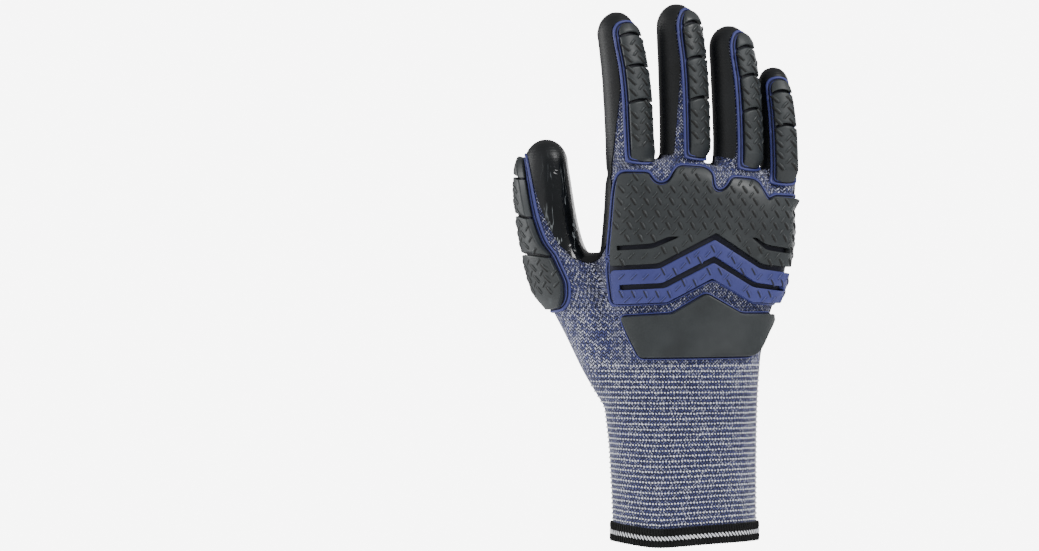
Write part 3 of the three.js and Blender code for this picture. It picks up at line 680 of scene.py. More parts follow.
@dataclass
class HandSkin:
    """The glove's smooth outer surface, on which every piece is laid."""

    voxel: float = 1.4
    rounds: int = 7
    palm_cap: float = 0.03
    digit_cap: float = 0.02
    dome_start: float = 0.75
    folds: tuple = (((-43.5, -0.5, 124.0), (13.0, 8.0, 11.5)), ((35.0, 6.5, 167.0), (4.5, 7.5, 7.5)))
    body: Piece | None = None
    tree: BVHTree | None = None

    def build(self) -> None:
        """Lofts palm and digits, melts them into one skin and smooths its webs."""
        parts = [self.loft_palm()]
        parts += [self.loft_digit(digit) for digit in DIGITS]
        parts += [self.fold(place, size) for place, size in self.folds]
        self.body = Bench.join("hand_skin", parts)
        Bench.modify(self.body, "REMESH", mode="VOXEL", voxel_size=self.voxel * MM, use_smooth_shade=True)
        Bench.modify(self.body, "SMOOTH", factor=0.5, iterations=self.rounds)
        self.tree = BVHTree.FromObject(self.body, bpy.context.evaluated_depsgraph_get())

    def loft_palm(self) -> Piece:
        """Lofts the cuff and palm as one closed form."""
        low, high = PALM.sections[0][0], PALM.sections[-1][0]

        def shape(u: Array, v: Array) -> Array:
            """Closes both ends by drawing them to the middle."""
            height = low + (high - low) * np.clip((v - self.palm_cap) / (1 - 2 * self.palm_cap), 0, 1)
            ring = PALM.point(u * 2 * math.pi, height)
            draw = np.clip(np.minimum(v, 1 - v) / self.palm_cap, 0, 1)[:, None]
            axis = np.stack([np.full_like(v, 3.0), np.zeros_like(v), ring[:, 2]], axis=-1)
            return (axis + (ring - axis) * draw) * MM

        piece = Bench.sheet("palm_loft", PALM.sides, 150, shape)
        Bench.weld(piece)
        return piece

    def loft_digit(self, digit: DigitForm) -> Piece:
        """Lofts one digit as a closed form with a round tip."""
        foot = digit.rows[0][0]

        def shape(u: Array, v: Array) -> Array:
            """Runs up the digit and closes over its tip."""
            share = np.clip((v - self.digit_cap) / (1 - self.digit_cap), 0, 1)
            body = np.minimum(share / self.dome_start, 1)
            dome = np.clip((share - self.dome_start) / (1 - self.dome_start), 0, 1)
            up = foot + (digit.tip_start - foot) * body + (1 - digit.tip_start) * np.sin(dome * math.pi / 2)
            ring = digit.point(u * 360, up)
            x, y, z, _, _ = digit.section(up)
            axis = np.stack([x, y, z], axis=-1)
            draw = np.clip(v / self.digit_cap, 0, 1)[:, None]
            return (axis + (ring - axis) * draw) * MM

        piece = Bench.sheet(f"{digit.name}_loft", digit.sides, 90, shape)
        Bench.weld(piece)
        return piece

    @staticmethod
    def fold(place: Spot, size: Spot) -> Piece:
        """Adds the fold of knit between two digits."""
        Bench.clear()
        bpy.ops.mesh.primitive_uv_sphere_add(segments=24, ring_count=16, radius=1)
        piece = bpy.context.object
        Bench.move(piece, (Bench.points(piece) * size + place) * MM)
        return piece

    def land(self, start: Array, outward: Array, reach: float) -> Array:
        """Drops points along their normals onto the skin.

        Args:
            start: Points near the skin, in millimetres.
            outward: Their outward directions.
            reach: How far out the drop starts.

        Returns:
            The places on the skin, in millimetres.
        """
        landed = start.copy()
        for i, (point, way) in enumerate(zip(start, outward)):
            origin = Vector((point + way * reach) * MM)
            hit, _, _, _ = self.tree.ray_cast(origin, Vector(-way), (reach + 6) * MM)
            if hit is not None:
                landed[i] = np.array(hit) / MM
        return landed


SKIN = HandSkin()


class PalmMap:
    """Lays flat pieces on the back of the palm: across is measured along the skin, up is height.

    Past the edge that the camera sees, a piece may run on along the skin by the overhang.
    """

    levels = np.linspace(60.0, 182.0, 123)
    overhang = 3.2

    def __init__(self) -> None:
        """Measures the palm's sections."""
        self.spans = [PALM.girth(float(z)) for z in self.levels]

    def across(self, x: float, z: float, height: float) -> float:
        """Length along the skin for a place as the camera sees it, at a height above the skin."""
        along, ring = self.spans[int(np.clip(round(z - self.levels[0]), 0, len(self.levels) - 1))]
        run = np.gradient(ring[:, :2], axis=0)
        top = ring[:, :2] + unit(np.column_stack([run[:, 1], -run[:, 0]])) * height
        seen = EYE_X + (top[:, 0] - EYE_X) * EYE_AWAY / (EYE_AWAY + top[:, 1])
        first, last = int(np.argmin(seen)), int(np.argmax(seen))
        beyond = min(self.overhang, max(0.0, x - float(seen[last])))
        return float(np.interp(x, seen[first:last + 1], along[first:last + 1])) + beyond

    def lay(self, flat: Array) -> Array:
        """Lays points of across, up and height in millimetres onto the skin, in metres."""
        place = np.empty_like(flat)
        outward = np.zeros_like(flat)
        share = np.clip(flat[:, 1] - self.levels[0], 0, len(self.levels) - 1.001)
        low = share.astype(int)
        for level in np.unique(low):
            chosen = low == level
            blend = (share[chosen] - level)[:, None]
            found = []
            for along, ring in (self.spans[level], self.spans[level + 1]):
                spot = [np.interp(flat[chosen, 0] + aside, along, ring[:, axis])
                        for aside in (0, -0.6, 0.6) for axis in (0, 1)]
                found.append(np.array(spot).T)
            spot = found[0] * (1 - blend) + found[1] * blend
            place[chosen] = np.stack([spot[:, 0], spot[:, 1], flat[chosen, 1]], axis=-1)
            run = spot[:, 4:6] - spot[:, 2:4]
            outward[chosen] = np.stack([run[:, 1], -run[:, 0], np.zeros(len(run))], axis=-1)
        outward = unit(outward)
        return (SKIN.land(place, outward, 9.0) + outward * flat[:, 2:3]) * MM


class DigitMap:
    """Lays flat pieces on a digit: across from its guard's middle line, up from its web."""

    def __init__(self, digit: DigitForm) -> None:
        """Keeps the digit."""
        self.digit = digit

    def lay(self, flat: Array) -> Array:
        """Lays points of across, up and height in millimetres onto the skin, in metres."""
        digit = self.digit
        up = np.clip(flat[:, 1] / digit.length, digit.rows[0][0], 0.999)
        first, last = digit.edges(up)
        _, _, _, wide, _ = digit.section(up)
        degrees = (first + last) / 2 + np.degrees(flat[:, 0] / wide)
        outward = digit.normal(degrees, up)
        place = digit.point(degrees, up)
        return (SKIN.land(place, outward, 3.0) + outward * flat[:, 2:3]) * MM

    def half(self, up: Array) -> Array:
        """Half the guard's width at a share of the length, in millimetres."""
        first, last = self.digit.edges(up)
        _, _, _, wide, _ = self.digit.section(up)
        return np.radians(last - first) / 2 * wide


Surface = PalmMap | DigitMap
CORNER_STEPS = 5


def rounded(corners: Sequence[Corner], steps: int = CORNER_STEPS) -> Array:
    """Rounds the corners of a closed outline.

    Args:
        corners: Points as across, up and an optional corner radius.
        steps: Points on each rounded corner.

    Returns:
        The outline's points.
    """
    made: list[Array] = []
    count = len(corners)
    for i, corner in enumerate(corners):
        here = np.array(corner[:2], float)
        radius = corner[2] if len(corner) > 2 else 0.0
        before = np.array(corners[i - 1][:2], float) - here
        after = np.array(corners[(i + 1) % count][:2], float) - here
        if radius <= 0:
            made.append(here)
            continue
        back = min(radius, 0.48 * np.linalg.norm(before))
        ahead = min(radius, 0.48 * np.linalg.norm(after))
        first = here + before / np.linalg.norm(before) * back
        last = here + after / np.linalg.norm(after) * ahead
        for t in np.linspace(0, 1, steps):
            made.append((1 - t) ** 2 * first + 2 * t * (1 - t) * here + t * t * last)
    return np.array(made)


def even(outline: Array, step: float) -> Array:
    """Adds points along a closed outline so that none of its edges is longer than a step."""
    made = []
    for here, after in zip(outline, np.roll(outline, -1, axis=0)):
        length = float(np.linalg.norm(after - here))
        for t in np.linspace(0, 1, max(1, math.ceil(length / step)), endpoint=False):
            made.append(here + (after - here) * t)
    return np.array(made)


def grown(outline: Array, distance: float) -> Array:
    """Moves every edge of a counter-clockwise outline out by a distance."""
    before = unit(outline - np.roll(outline, 1, axis=0))
    after = unit(np.roll(outline, -1, axis=0) - outline)
    first = np.stack([before[:, 1], -before[:, 0]], axis=-1)
    second = np.stack([after[:, 1], -after[:, 0]], axis=-1)
    way = unit(first + second)
    reach = distance / np.maximum(0.6, (way * first).sum(axis=1))
    return outline + way * reach[:, None]


def softened(outline: Array, step: float, rounds: int = 2) -> Array:
    """Spaces a closed outline's points evenly and takes the edge off its corners."""
    closed = np.vstack([outline, outline[:1]])
    along = lengths(closed)
    spots = np.linspace(0, along[-1], max(8, round(along[-1] / step)), endpoint=False)
    made = np.column_stack([np.interp(spots, along, closed[:, axis]) for axis in (0, 1)])
    for _ in range(rounds):
        made = made * 0.5 + (np.roll(made, 1, axis=0) + np.roll(made, -1, axis=0)) * 0.25
    return made


def inside(outline: Array, points: Array) -> Array:
    """Signed distance of points to a closed outline, positive inside."""
    best = np.full(len(points), 1e9)
    odd = np.zeros(len(points), bool)
    for a, b in zip(outline, np.roll(outline, -1, axis=0)):
        run = b - a
        t = np.clip(((points - a) @ run) / max(float(run @ run), 1e-12), 0, 1)
        best = np.minimum(best, np.linalg.norm(points - (a + t[:, None] * run), axis=1))
        crosses = (a[1] > points[:, 1]) != (b[1] > points[:, 1])
        rise = np.where(abs(b[1] - a[1]) < 1e-12, 1e-12, b[1] - a[1])
        odd ^= crosses & (points[:, 0] < a[0] + (points[:, 1] - a[1]) / rise * run[0])
    return np.where(odd, best, -best)


class FlatWork:
    """Moulded pieces made flat, in millimetres, and then laid on the glove."""

    @staticmethod
    def plate(name: str, outline: Array, low: float, high: float, bevel: float = 0.0,
              slots: Sequence[Array] = (), cell: float = 2.0) -> Piece:
        """Makes a flat plate with rounded upper edges and slots.

        Args:
            name: The piece's name.
            outline: Its outline, counter-clockwise.
            low: Height of its underside.
            high: Height of its top.
            bevel: Width of the rounding along its upper edges.
            slots: Outlines of the slots cut through it.
            cell: Size of the faces that let it bend.

        Returns:
            The plate, across in X, up in Y and height in Z.
        """
        piece = FlatWork.block(name, outline, low, high)
        for slot in slots:
            cutter = FlatWork.block("cutter", slot, low - 1, high + 1)
            Bench.modify(piece, "BOOLEAN", operation="DIFFERENCE", solver="EXACT", object=cutter)
            Bench.drop(cutter)
        if bevel:
            FlatWork.round_top(piece, high, bevel)
        FlatWork.cut_cells(piece, cell)
        return piece

    @staticmethod
    def block(name: str, outline: Array, low: float, high: float) -> Piece:
        """Makes a prism over an outline."""
        Bench.clear()
        bpy.ops.mesh.primitive_circle_add(vertices=len(outline), fill_type="NGON")
        piece = bpy.context.object
        piece.name = piece.data.name = name
        Bench.move(piece, np.column_stack([outline, np.full(len(outline), low)]))
        bpy.ops.object.mode_set(mode="EDIT")
        bpy.ops.mesh.select_all(action="SELECT")
        bpy.ops.mesh.extrude_region_move(TRANSFORM_OT_translate={"value": (0, 0, high - low)})
        bpy.ops.mesh.select_all(action="SELECT")
        bpy.ops.mesh.normals_make_consistent(inside=False)
        bpy.ops.object.mode_set(mode="OBJECT")
        return piece

    @staticmethod
    def round_top(piece: Piece, high: float, width: float) -> None:
        """Rounds the edges between a plate's top and its walls."""
        work = bmesh.new()
        work.from_mesh(piece.data)
        weight = work.edges.layers.float.new("bevel_weight_edge")
        for edge in work.edges:
            top = all(abs(v.co.z - high) < 1e-4 for v in edge.verts)
            turn = len(edge.link_faces) == 2 and edge.calc_face_angle(0) > 0.5
            edge[weight] = 1.0 if top and turn else 0.0
        work.to_mesh(piece.data)
        work.free()
        Bench.modify(piece, "BEVEL", limit_method="WEIGHT", width=width, segments=3, use_clamp_overlap=True)

    @staticmethod
    def cut_cells(piece: Piece, cell: float) -> None:
        """Cuts a flat piece into small cells so that it can follow a curved skin."""
        points = Bench.points(piece)
        work = bmesh.new()
        work.from_mesh(piece.data)
        bmesh.ops.triangulate(work, faces=[f for f in work.faces if len(f.verts) > 4])
        for axis in (0, 1):
            low, high = points[:, axis].min(), points[:, axis].max()
            for place in np.arange(math.ceil(low / cell) * cell, high, cell):
                spot, way = Vector((0, 0, 0)), Vector((0, 0, 0))
                spot[axis], way[axis] = float(place), 1.0
                everything = [*work.verts, *work.edges, *work.faces]
                bmesh.ops.bisect_plane(work, geom=everything, dist=1e-5, plane_co=spot, plane_no=way)
        work.to_mesh(piece.data)
        work.free()

    @staticmethod
    def bead(name: str, outline: Array, radius: float, height: float, sides: int = 8,
             flat: float = 1.0) -> Piece:
        """Makes a rounded bead along a closed outline.

        Args:
            name: The piece's name.
            outline: The line that it follows.
            radius: Half its width.
            height: Height of its middle.
            sides: Faces round the bead.
            flat: Its height as a share of its width.

        Returns:
            The bead, still flat.
        """
        count = len(outline)
        way = unit(np.roll(outline, -1, axis=0) - np.roll(outline, 1, axis=0))
        side = np.stack([way[:, 1], -way[:, 0]], axis=-1)

        def shape(u: Array, v: Array) -> Array:
            """Turns a round section along the line."""
            index = np.rint(v * count).astype(int) % count
            angle = u * 2 * math.pi
            spot = outline[index] + side[index] * (np.cos(angle) * radius)[:, None]
            return np.column_stack([spot, height + np.sin(angle) * radius * flat])

        piece = Bench.sheet(name, sides, count, shape)
        Bench.weld(piece, 1e-4)
        return piece

    @staticmethod
    def lay(piece: Piece, surface: Surface) -> None:
        """Lays a flat piece on the glove."""
        Bench.move(piece, surface.lay(Bench.points(piece)))

    @staticmethod
    def marks(name: str, places: Sequence[Spot], height: float, size: "MarkSize") -> Piece:
        """Makes the marks of a tread pattern.

        Args:
            name: The piece's name.
            places: Across, up and lean in degrees of each mark.
            height: Height of the surface they stand on.
            size: The size of every mark.

        Returns:
            All marks as one flat piece.
        """
        length, width, rise, aside = size.length, size.width, size.rise, size.aside
        sunk = rise * 0.4
        Bench.clear()
        bpy.ops.mesh.primitive_uv_sphere_add(segments=8, ring_count=6, radius=1)
        mark = bpy.context.object
        bpy.ops.object.mode_set(mode="EDIT")
        bpy.ops.mesh.select_all(action="SELECT")
        bpy.ops.transform.resize(value=(length / 2, width / 2, rise * 1.4), center_override=(0, 0, 0))
        cut = {"plane_co": (0, 0, -sunk), "plane_no": (0, 0, 1), "clear_inner": True, "use_fill": True}
        bpy.ops.mesh.bisect(**cut)
        bpy.ops.object.mode_set(mode="OBJECT")
        shape = Bench.points(mark)
        shape[:, 2] += height - sunk
        shape[:, 1] += 0.45 * aside * np.cos(shape[:, 0] * math.pi / length) - aside
        copies = []
        for index, (across, up, lean) in enumerate(places):
            twin = mark if index == 0 else Bench.copy(mark, name)
            turn = math.radians(lean)
            x = across + shape[:, 0] * math.cos(turn) - shape[:, 1] * math.sin(turn)
            y = up + shape[:, 0] * math.sin(turn) + shape[:, 1] * math.cos(turn)
            Bench.move(twin, np.column_stack([x, y, shape[:, 2]]))
            copies.append(twin)
        return Bench.join(name, copies)


@dataclass(frozen=True)
class MarkSize:
    """The size of a tread mark, in millimetres; aside is how far below its place it lies."""

    length: float
    width: float
    rise: float
    aside: float = 0.0


@dataclass
class Tread:
    """A checkerboard of leaning marks, each with a dark painted shadow beside it; those that lean left
    stand higher.
    """

    name: str
    places: Sequence[Spot]
    height: float
    surface: Surface
    finish: Finish
    slot: str
    lift: Callable[[Array], Array] | None = None

    def build(self) -> None:
        """Makes the high marks and the low marks between them, each with a dark painted shadow beside it.
        """
        is_blue = self.finish is Finish.BLUE_RUBBER
        # Painted shadow: a flat dark copy of each mark, set beside it in a shade finish.
        dark = Finish.BLUE_PAINTED_SHADE if is_blue else Finish.BLACK_PAINTED_SHADE
        strong = [spot for spot in self.places if spot[2] < 0]
        faint = [spot for spot in self.places if spot[2] > 0]
        self.add("tread", strong, MarkSize(4.6, 1.15, 0.52), self.finish)
        self.add("tread_painted_shadow", strong, MarkSize(4.8, 0.85 if is_blue else 1.25, 0.4, 0.82), dark)
        self.add("tread_low", faint, MarkSize(4.2, 1.1, 0.42), self.finish)
        self.add("tread_low_painted_shadow", faint, MarkSize(4.0, 0.62, 0.24, 0.62), dark)

    def add(self, kind: str, places: Sequence[Spot], size: MarkSize, finish: Finish) -> None:
        """Makes, lays and dresses one set of marks."""
        if not places:
            return
        piece = FlatWork.marks(f"{self.name}_{kind}", places, self.height, size)
        if self.lift:
            spots = Bench.points(piece)
            spots[:, 2] += self.lift(spots)
            Bench.move(piece, spots)
        fit(piece, self.surface, finish)


def settle(piece: Piece, finish: Finish, nodes: Sequence[str] = (),
           angle: float | None = None) -> None:
    """Shades and dresses a finished piece and fixes it to the part.

    Args:
        piece: The finished piece.
        finish: Its finish.
        nodes: The plain solids that it stands for.
        angle: Edges sharper than this stay sharp, in degrees; without it all is smooth.
    """
    Bench.smooth(piece, angle)
    finish.dress(piece)
    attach(piece, "root")
    if nodes:
        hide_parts(*nodes)
    LOG.info("%s: %d faces", piece.name, len(piece.data.polygons))


def fit(piece: Piece, surface: Surface, finish: Finish, nodes: Sequence[str] = (),
        angle: float | None = None) -> None:
    """Lays a flat piece on the glove and settles it there."""
    FlatWork.lay(piece, surface)
    settle(piece, finish, nodes, angle)


class Weave:
    """Lays the knit's rows on the skin: wales run up the hand and courses run round it."""

    wale = 1.65
    course = 1.5

    def __init__(self) -> None:
        """Measures the palm's girth at many heights."""
        self.levels = np.linspace(-4.0, 184.0, 95)
        self.angles = np.linspace(-1.5 * math.pi, 0.5 * math.pi, 241)
        self.table = []
        for height in self.levels:
            ring = PALM.point(self.angles, np.full_like(self.angles, height), follow=False)
            along = lengths(ring[:, :2])
            self.table.append(along - np.interp(-math.pi / 2, self.angles, along))
        self.table = np.array(self.table)

    def angle(self, points: Array) -> Array:
        """Angle round the palm's section for points near its skin."""
        left, right, deep, back, slope, square, _ = (PALM.column(i, points[:, 2]) for i in range(1, 8))
        middle = (left + right) / 2
        x = (points[:, 0] - middle) / ((right - left) / 2)
        y = (points[:, 1] - back - slope * PALM.turn * (points[:, 0] - middle)) / (deep / 2)
        angle = np.arctan2(powered(y, square / 2), powered(x, square / 2))
        return np.where(angle > math.pi / 2, angle - 2 * math.pi, angle)

    def girth(self, angle: Array, height: Array) -> Array:
        """Length round the palm from the middle of its back."""
        row = np.interp(height, self.levels, np.arange(len(self.levels)))
        row = np.clip(row, 0, len(self.levels) - 1.001)
        low = row.astype(int)
        column = np.interp(angle, self.angles, np.arange(len(self.angles)))
        left = np.clip(column.astype(int), 0, len(self.angles) - 2)
        a, b = row - low, column - left
        near = self.table[low, left] * (1 - b) + self.table[low, left + 1] * b
        far = self.table[low + 1, left] * (1 - b) + self.table[low + 1, left + 1] * b
        return near * (1 - a) + far * a

    def rows(self, points: Array) -> Array:
        """Millimetres across and up in the knit for points near the skin."""
        across = self.girth(self.angle(points), points[:, 2])
        for digit in DIGITS:
            share, degrees, up = near_digit(digit, points)
            is_thumb = digit.name == "thumb"
            low, high, spot = (-0.75, -0.2, -0.45) if is_thumb else (-0.04, 0.16, 0.05)
            near = np.abs(share - 1) < 0.35
            if is_thumb:
                near &= points[:, 0] < -33 - 8 * np.clip(up + 0.3, 0, 1)
            _, _, _, wide, _ = digit.section(np.minimum(up, 1.0))
            own = np.radians(degrees) * wide
            turn = -10.0 if is_thumb else 0.0
            mark = digit.point(np.array([turn]), np.array([spot]))
            _, _, _, root, _ = digit.section(np.array([spot]))
            home = float(self.girth(self.angle(mark), mark[:, 2])[0]) - math.radians(turn) * float(root[0])
            blend = np.clip((up - low) / (high - low), 0, 1) * near
            across = across * (1 - blend) + (own + home) * blend
        return np.column_stack([across, points[:, 2]])

    def apply(self, piece: Piece) -> None:
        """Writes the weave as a UV map, in wales and courses."""
        points = Bench.points(piece) / MM
        rows = self.rows(points)
        mesh = piece.data
        layer = mesh.uv_layers.new(name="weave")
        corner = np.empty(len(mesh.loops), int)
        mesh.loops.foreach_get("vertex_index", corner)
        starts = np.empty(len(mesh.polygons), int)
        mesh.polygons.foreach_get("loop_start", starts)
        uv = rows[corner]
        owner = np.zeros(len(corner), int)
        owner[starts] = 1
        owner = np.cumsum(owner) - 1
        highest = np.maximum.reduceat(uv[:, 0], starts)
        spread = highest[owner] - uv[:, 0]
        uv[:, 0] += np.where(spread > 60, np.round(spread / self.wale) * self.wale, 0)
        uv /= (self.wale, self.course)
        layer.data.foreach_set("uv", uv.astype(np.float32).ravel())


def near_digit(digit: DigitForm, points: Array) -> tuple[Array, Array, Array]:
    """How points lie to a digit.

    Returns:
        Share of the skin's distance from the digit's middle, degrees round it and share up it.
    """
    up = (points[:, 2] - digit.web) / digit.length
    x, y, _, wide, deep = digit.section(np.clip(up, digit.rows[0][0], 0.999))
    rise = np.clip((up - digit.tip_start) / (1 - digit.tip_start), 0, 0.999)
    shrink = np.sqrt(1 - rise**2)
    across, through = (points[:, 0] - x) / (wide * shrink), (points[:, 1] - y) / (deep * shrink)
    return np.hypot(across, through), np.degrees(np.arctan2(across, -through)), up


@dataclass(frozen=True)
class HemLine:
    """How far the cuff's end rises round the wrist: lowest on the back of the hand."""

    turn: float = 0.38
    rise: float = 18.0
    ease: float = 6.0
    foot: float = 0.3

    def wave(self, angle: Array) -> Array:
        """Millimetres that the end lies higher at an angle round the wrist."""
        away = 1 - np.cos(angle + math.pi / 2 + self.turn)
        return self.rise * away / (1 + self.ease * away) + self.foot


HEM = HemLine()


@dataclass
class KnitLiner:
    """The knitted glove, open at the wrist, with the covered elastic threads of its cuff."""

    wall: float = 1.2
    foot: float = 3.8
    first_stripe: float = 10.2
    stripe_pitch: float = 2.45
    stripes: int = 31
    stitch_pitch: float = 1.45
    stitch_length: float = 0.98
    stitch_width: float = 0.8
    stitch_depth: float = 0.84
    stitch_lean: float = -28.0
    calm_above: float = 70.0

    def build(self) -> None:
        """Makes the liner and its threads."""
        weave = Weave()
        piece = Bench.copy(SKIN.body, "knit_liner")
        Bench.pick(piece)
        bpy.ops.object.mode_set(mode="EDIT")
        bpy.ops.mesh.select_all(action="SELECT")
        bpy.ops.mesh.bisect(plane_co=(0, 0, self.foot * MM), plane_no=(0, 0, 1), clear_inner=True)
        bpy.ops.object.mode_set(mode="OBJECT")
        weave.apply(piece)
        Bench.modify(piece, "SOLIDIFY", thickness=self.wall * MM, offset=-1.0)
        nodes = ["knit_liner", *(f"{digit.name}_knit" for digit in DIGITS)]
        settle(piece, Finish.KNIT, nodes)
        self.build_threads(weave)

    def build_threads(self, weave: Weave) -> None:
        """Lays the white threads round the cuff, one slanted stitch on each wale."""
        shape, faces = Bench.ball(6, 4)
        shape = shape * (self.stitch_length / 2, self.stitch_width / 2, self.stitch_depth / 2)
        chance = np.random.default_rng(7)
        starts, ways = [], []
        for index in range(self.stripes):
            height = self.first_stripe + index * self.stripe_pitch
            row = int(np.argmin(np.abs(weave.levels - height)))
            ring_length = weave.table[row][-1] - weave.table[row][0]
            count = int(ring_length / self.stitch_pitch)
            along = weave.table[row][0] + (np.arange(count) + 0.5 * (index % 2)) * ring_length / count
            angle = np.interp(along, weave.table[row], weave.angles)
            calm = np.clip(1 - height / self.calm_above, 0, 1)
            wave = HEM.wave(angle) * calm + 0.07 * chance.standard_normal(count)
            spot = PALM.point(angle, height + wave, follow=False)
            ahead = PALM.point(angle + 0.01, height + wave, follow=False) - spot
            ahead[:, 2] = 0
            starts.append(spot)
            ways.append(unit(ahead))
        spot, way = np.concatenate(starts), np.concatenate(ways)
        outward = np.stack([way[:, 1], -way[:, 0], np.zeros(len(way))], axis=-1)
        spot = SKIN.land(spot, outward, 5.0)
        keep = COAT.field(spot) < 0.5
        spot, way, outward = spot[keep], way[keep], outward[keep]
        lean = np.radians(self.stitch_lean + 5 * chance.standard_normal(len(spot)))[:, None]
        rise = np.array([0.0, 0.0, 1.0])
        long_way = way * np.cos(lean) + rise * np.sin(lean)
        wide_way = -way * np.sin(lean) + rise * np.cos(lean)
        size = (1 + 0.08 * chance.standard_normal(len(spot)))[:, None, None]
        ways = np.stack([long_way, wide_way, outward], axis=1)
        places = (spot + outward * 0.12)[:, None, :] + size * (shape[None] @ ways)
        settle(Bench.sow("cuff_threads", places, faces), Finish.WHITE_THREAD)


@dataclass(frozen=True)
class CoatArea:
    """The area that the coat covers, in millimetres.

    It lies above the foot line on the palm side and stays free of the bare back, the bare thumb root
    and the digits' guards. Beside each digit's foot a bare wedge, its first width in degrees and its
    height as a share of the digit, runs up to nothing.
    """

    foot_line: tuple[Corner, ...] = (
        (-132.0, 159.8), (-70.4, 142.1), (-54.6, 106.6), (-42.2, 85.2), (-27.9, 68.4), (-17.2, 58.6),
        (-6.2, 56.7), (7.0, 55.9), (27.3, 56.7), (36.1, 59.0), (41.4, 63.0), (70.4, 74.6),
    )
    bare_back: tuple[Corner, ...] = (
        (-52.8, -17.8), (132, -17.8), (132, 168.7), (52.8, 166.9), (44, 172.3), (31.7, 177.6),
        (11.4, 181.2), (-13.2, 181.2), (-34.3, 179.7), (-35.2, 151.0), (-36.5, 140.3), (-40.0, 133.2),
        (-45.8, 130.2), (-52.8, 131.1),
    )
    bare_thumb_root: tuple[Corner, ...] = (
        (-132, -17.8), (-26.4, -17.8), (-26.4, 127.9), (-37.0, 132.3), (-44, 130.2), (-57.2, 135.0),
        (-132, 135.0),
    )
    wedges: tuple[Corner, ...] = ((38.0, 0.5), (27.0, 0.58), (8.0, 0.2), (8.0, 0.2), (24.0, 0.65))
    middle: float = 5.3
    palm_side: float = 2.0
    thumb_side: float = 3.3
    under_guard: float = 0.45
    bare_side: float = 2.2

    def field(self, points: Array) -> Array:
        """How far inside the coated area points lie, in millimetres, negative where the knit is bare."""
        flat = points[:, [0, 2]]
        foot = np.array(self.foot_line)
        above = (points[:, 2] - np.interp(points[:, 0], foot[:, 0], foot[:, 1])) * 0.8
        side = points[:, 1] - (PALM.turn * (points[:, 0] - self.middle) + self.palm_side)
        dorsal = np.maximum(side, -inside(np.array(self.bare_back), flat))
        root = np.maximum(points[:, 1] - self.thumb_side, -inside(np.array(self.bare_thumb_root), flat))
        field = np.minimum(above, np.minimum(dorsal, root))
        for digit, (degrees_wide, fade) in zip(DIGITS, self.wedges):
            field = self.leave_guard(field, digit, degrees_wide, fade, points)
        return field

    def leave_guard(self, field: Array, digit: DigitForm, degrees_wide: float, fade: float,
                    points: Array) -> Array:
        """Takes one digit's guard and the bare wedge beside its foot out of the coated area."""
        share, degrees, up = near_digit(digit, points)
        is_thumb = digit.name == "thumb"
        first, last = digit.edges(np.clip(up, -1, 1))
        _, _, _, wide, _ = digit.section(np.clip(up, digit.rows[0][0], 0.999))
        wedge = np.radians(degrees_wide * np.clip(1 - up / fade, 0, 1.3)) * wide
        grow = self.under_guard
        left = np.radians(degrees - first) * wide + grow + (0 if is_thumb else wedge)
        right = np.radians(last - degrees) * wide + grow + (wedge if is_thumb else self.bare_side)
        foot_share = digit.foot - grow / digit.length if is_thumb else -0.2
        over = (up - foot_share) * digit.length
        under = (digit.head - up) * digit.length + grow
        depth = np.minimum(np.minimum(left, right), np.minimum(over, under))
        own = (share > 0.75) & (share < 1.3) & (up > (foot_share - 0.05))
        return np.where(own, np.minimum(field, -depth), field)


COAT = CoatArea()


@dataclass
class PalmCoating:
    """The dipped coat over palm, finger sides and tips."""

    wall: float = 0.8
    sink: float = 0.25

    def build(self) -> None:
        """Cuts the coated area out of the skin and gives it its thickness."""
        piece = Bench.copy(SKIN.body, "palm_coating")
        field = COAT.field(Bench.points(piece) / MM)
        field = np.where(np.abs(field) < 0.02, np.where(field < 0, -0.02, 0.02), field)
        work = bmesh.new()
        work.from_mesh(piece.data)
        work.verts.ensure_lookup_table()
        value = {vert: float(field[vert.index]) for vert in work.verts}
        fresh = []
        for edge in list(work.edges):
            a, b = edge.verts
            if value[a] * value[b] < 0:
                share = value[a] / (value[a] - value[b])
                _, vert = bmesh.utils.edge_split(edge, a, share)
                value[vert] = 0.0
                fresh.append(vert)
        bmesh.ops.connect_verts(work, verts=fresh)
        bare = [f for f in work.faces if sum(value.get(v, 0.0) for v in f.verts) < 0]
        bmesh.ops.delete(work, geom=bare, context="FACES")
        work.to_mesh(piece.data)
        work.free()
        self.drop_crumbs(piece)
        whole = self.wall + self.sink
        offset = (self.wall - self.sink) / whole
        Bench.modify(piece, "SOLIDIFY", thickness=whole * MM, offset=offset, use_even_offset=False)
        self.paint_wet(piece)
        settle(piece, Finish.COATING, ["palm_coating"], 50.0)

    @staticmethod
    def drop_crumbs(piece: Piece) -> None:
        """Deletes all islands but the largest."""
        work = bmesh.new()
        work.from_mesh(piece.data)
        left = set(work.faces)
        islands = []
        while left:
            queue = [left.pop()]
            island = []
            while queue:
                face = queue.pop()
                island.append(face)
                for edge in face.edges:
                    for other in edge.link_faces:
                        if other in left:
                            left.discard(other)
                            queue.append(other)
            islands.append(island)
        islands.sort(key=len)
        for island in islands[:-1]:
            bmesh.ops.delete(work, geom=island, context="FACES")
        work.to_mesh(piece.data)
        work.free()

    @staticmethod
    def paint_wet(piece: Piece) -> None:
        """Marks where the coat is thick and glossy and carries painted highlight lines: the thumb's inner
        side and the web beside it.
        """
        points = Bench.points(piece) / MM
        share, degrees, up = near_digit(DIGITS[-1], points)
        low, high = np.clip((up + 0.12) / 0.12, 0, 1), np.clip((0.93 - up) / 0.15, 0, 1)
        turn = np.clip((degrees + 20) / 25, 0, 1) * np.clip((125 - degrees) / 20, 0, 1)
        near = np.clip((1.35 - share) / 0.1, 0, 1) * (points[:, 0] < -40)
        wet = low * high * turn * near
        layer = piece.data.attributes.new("wet", "FLOAT", "POINT")
        layer.data.foreach_set("value", wet.astype(np.float32))


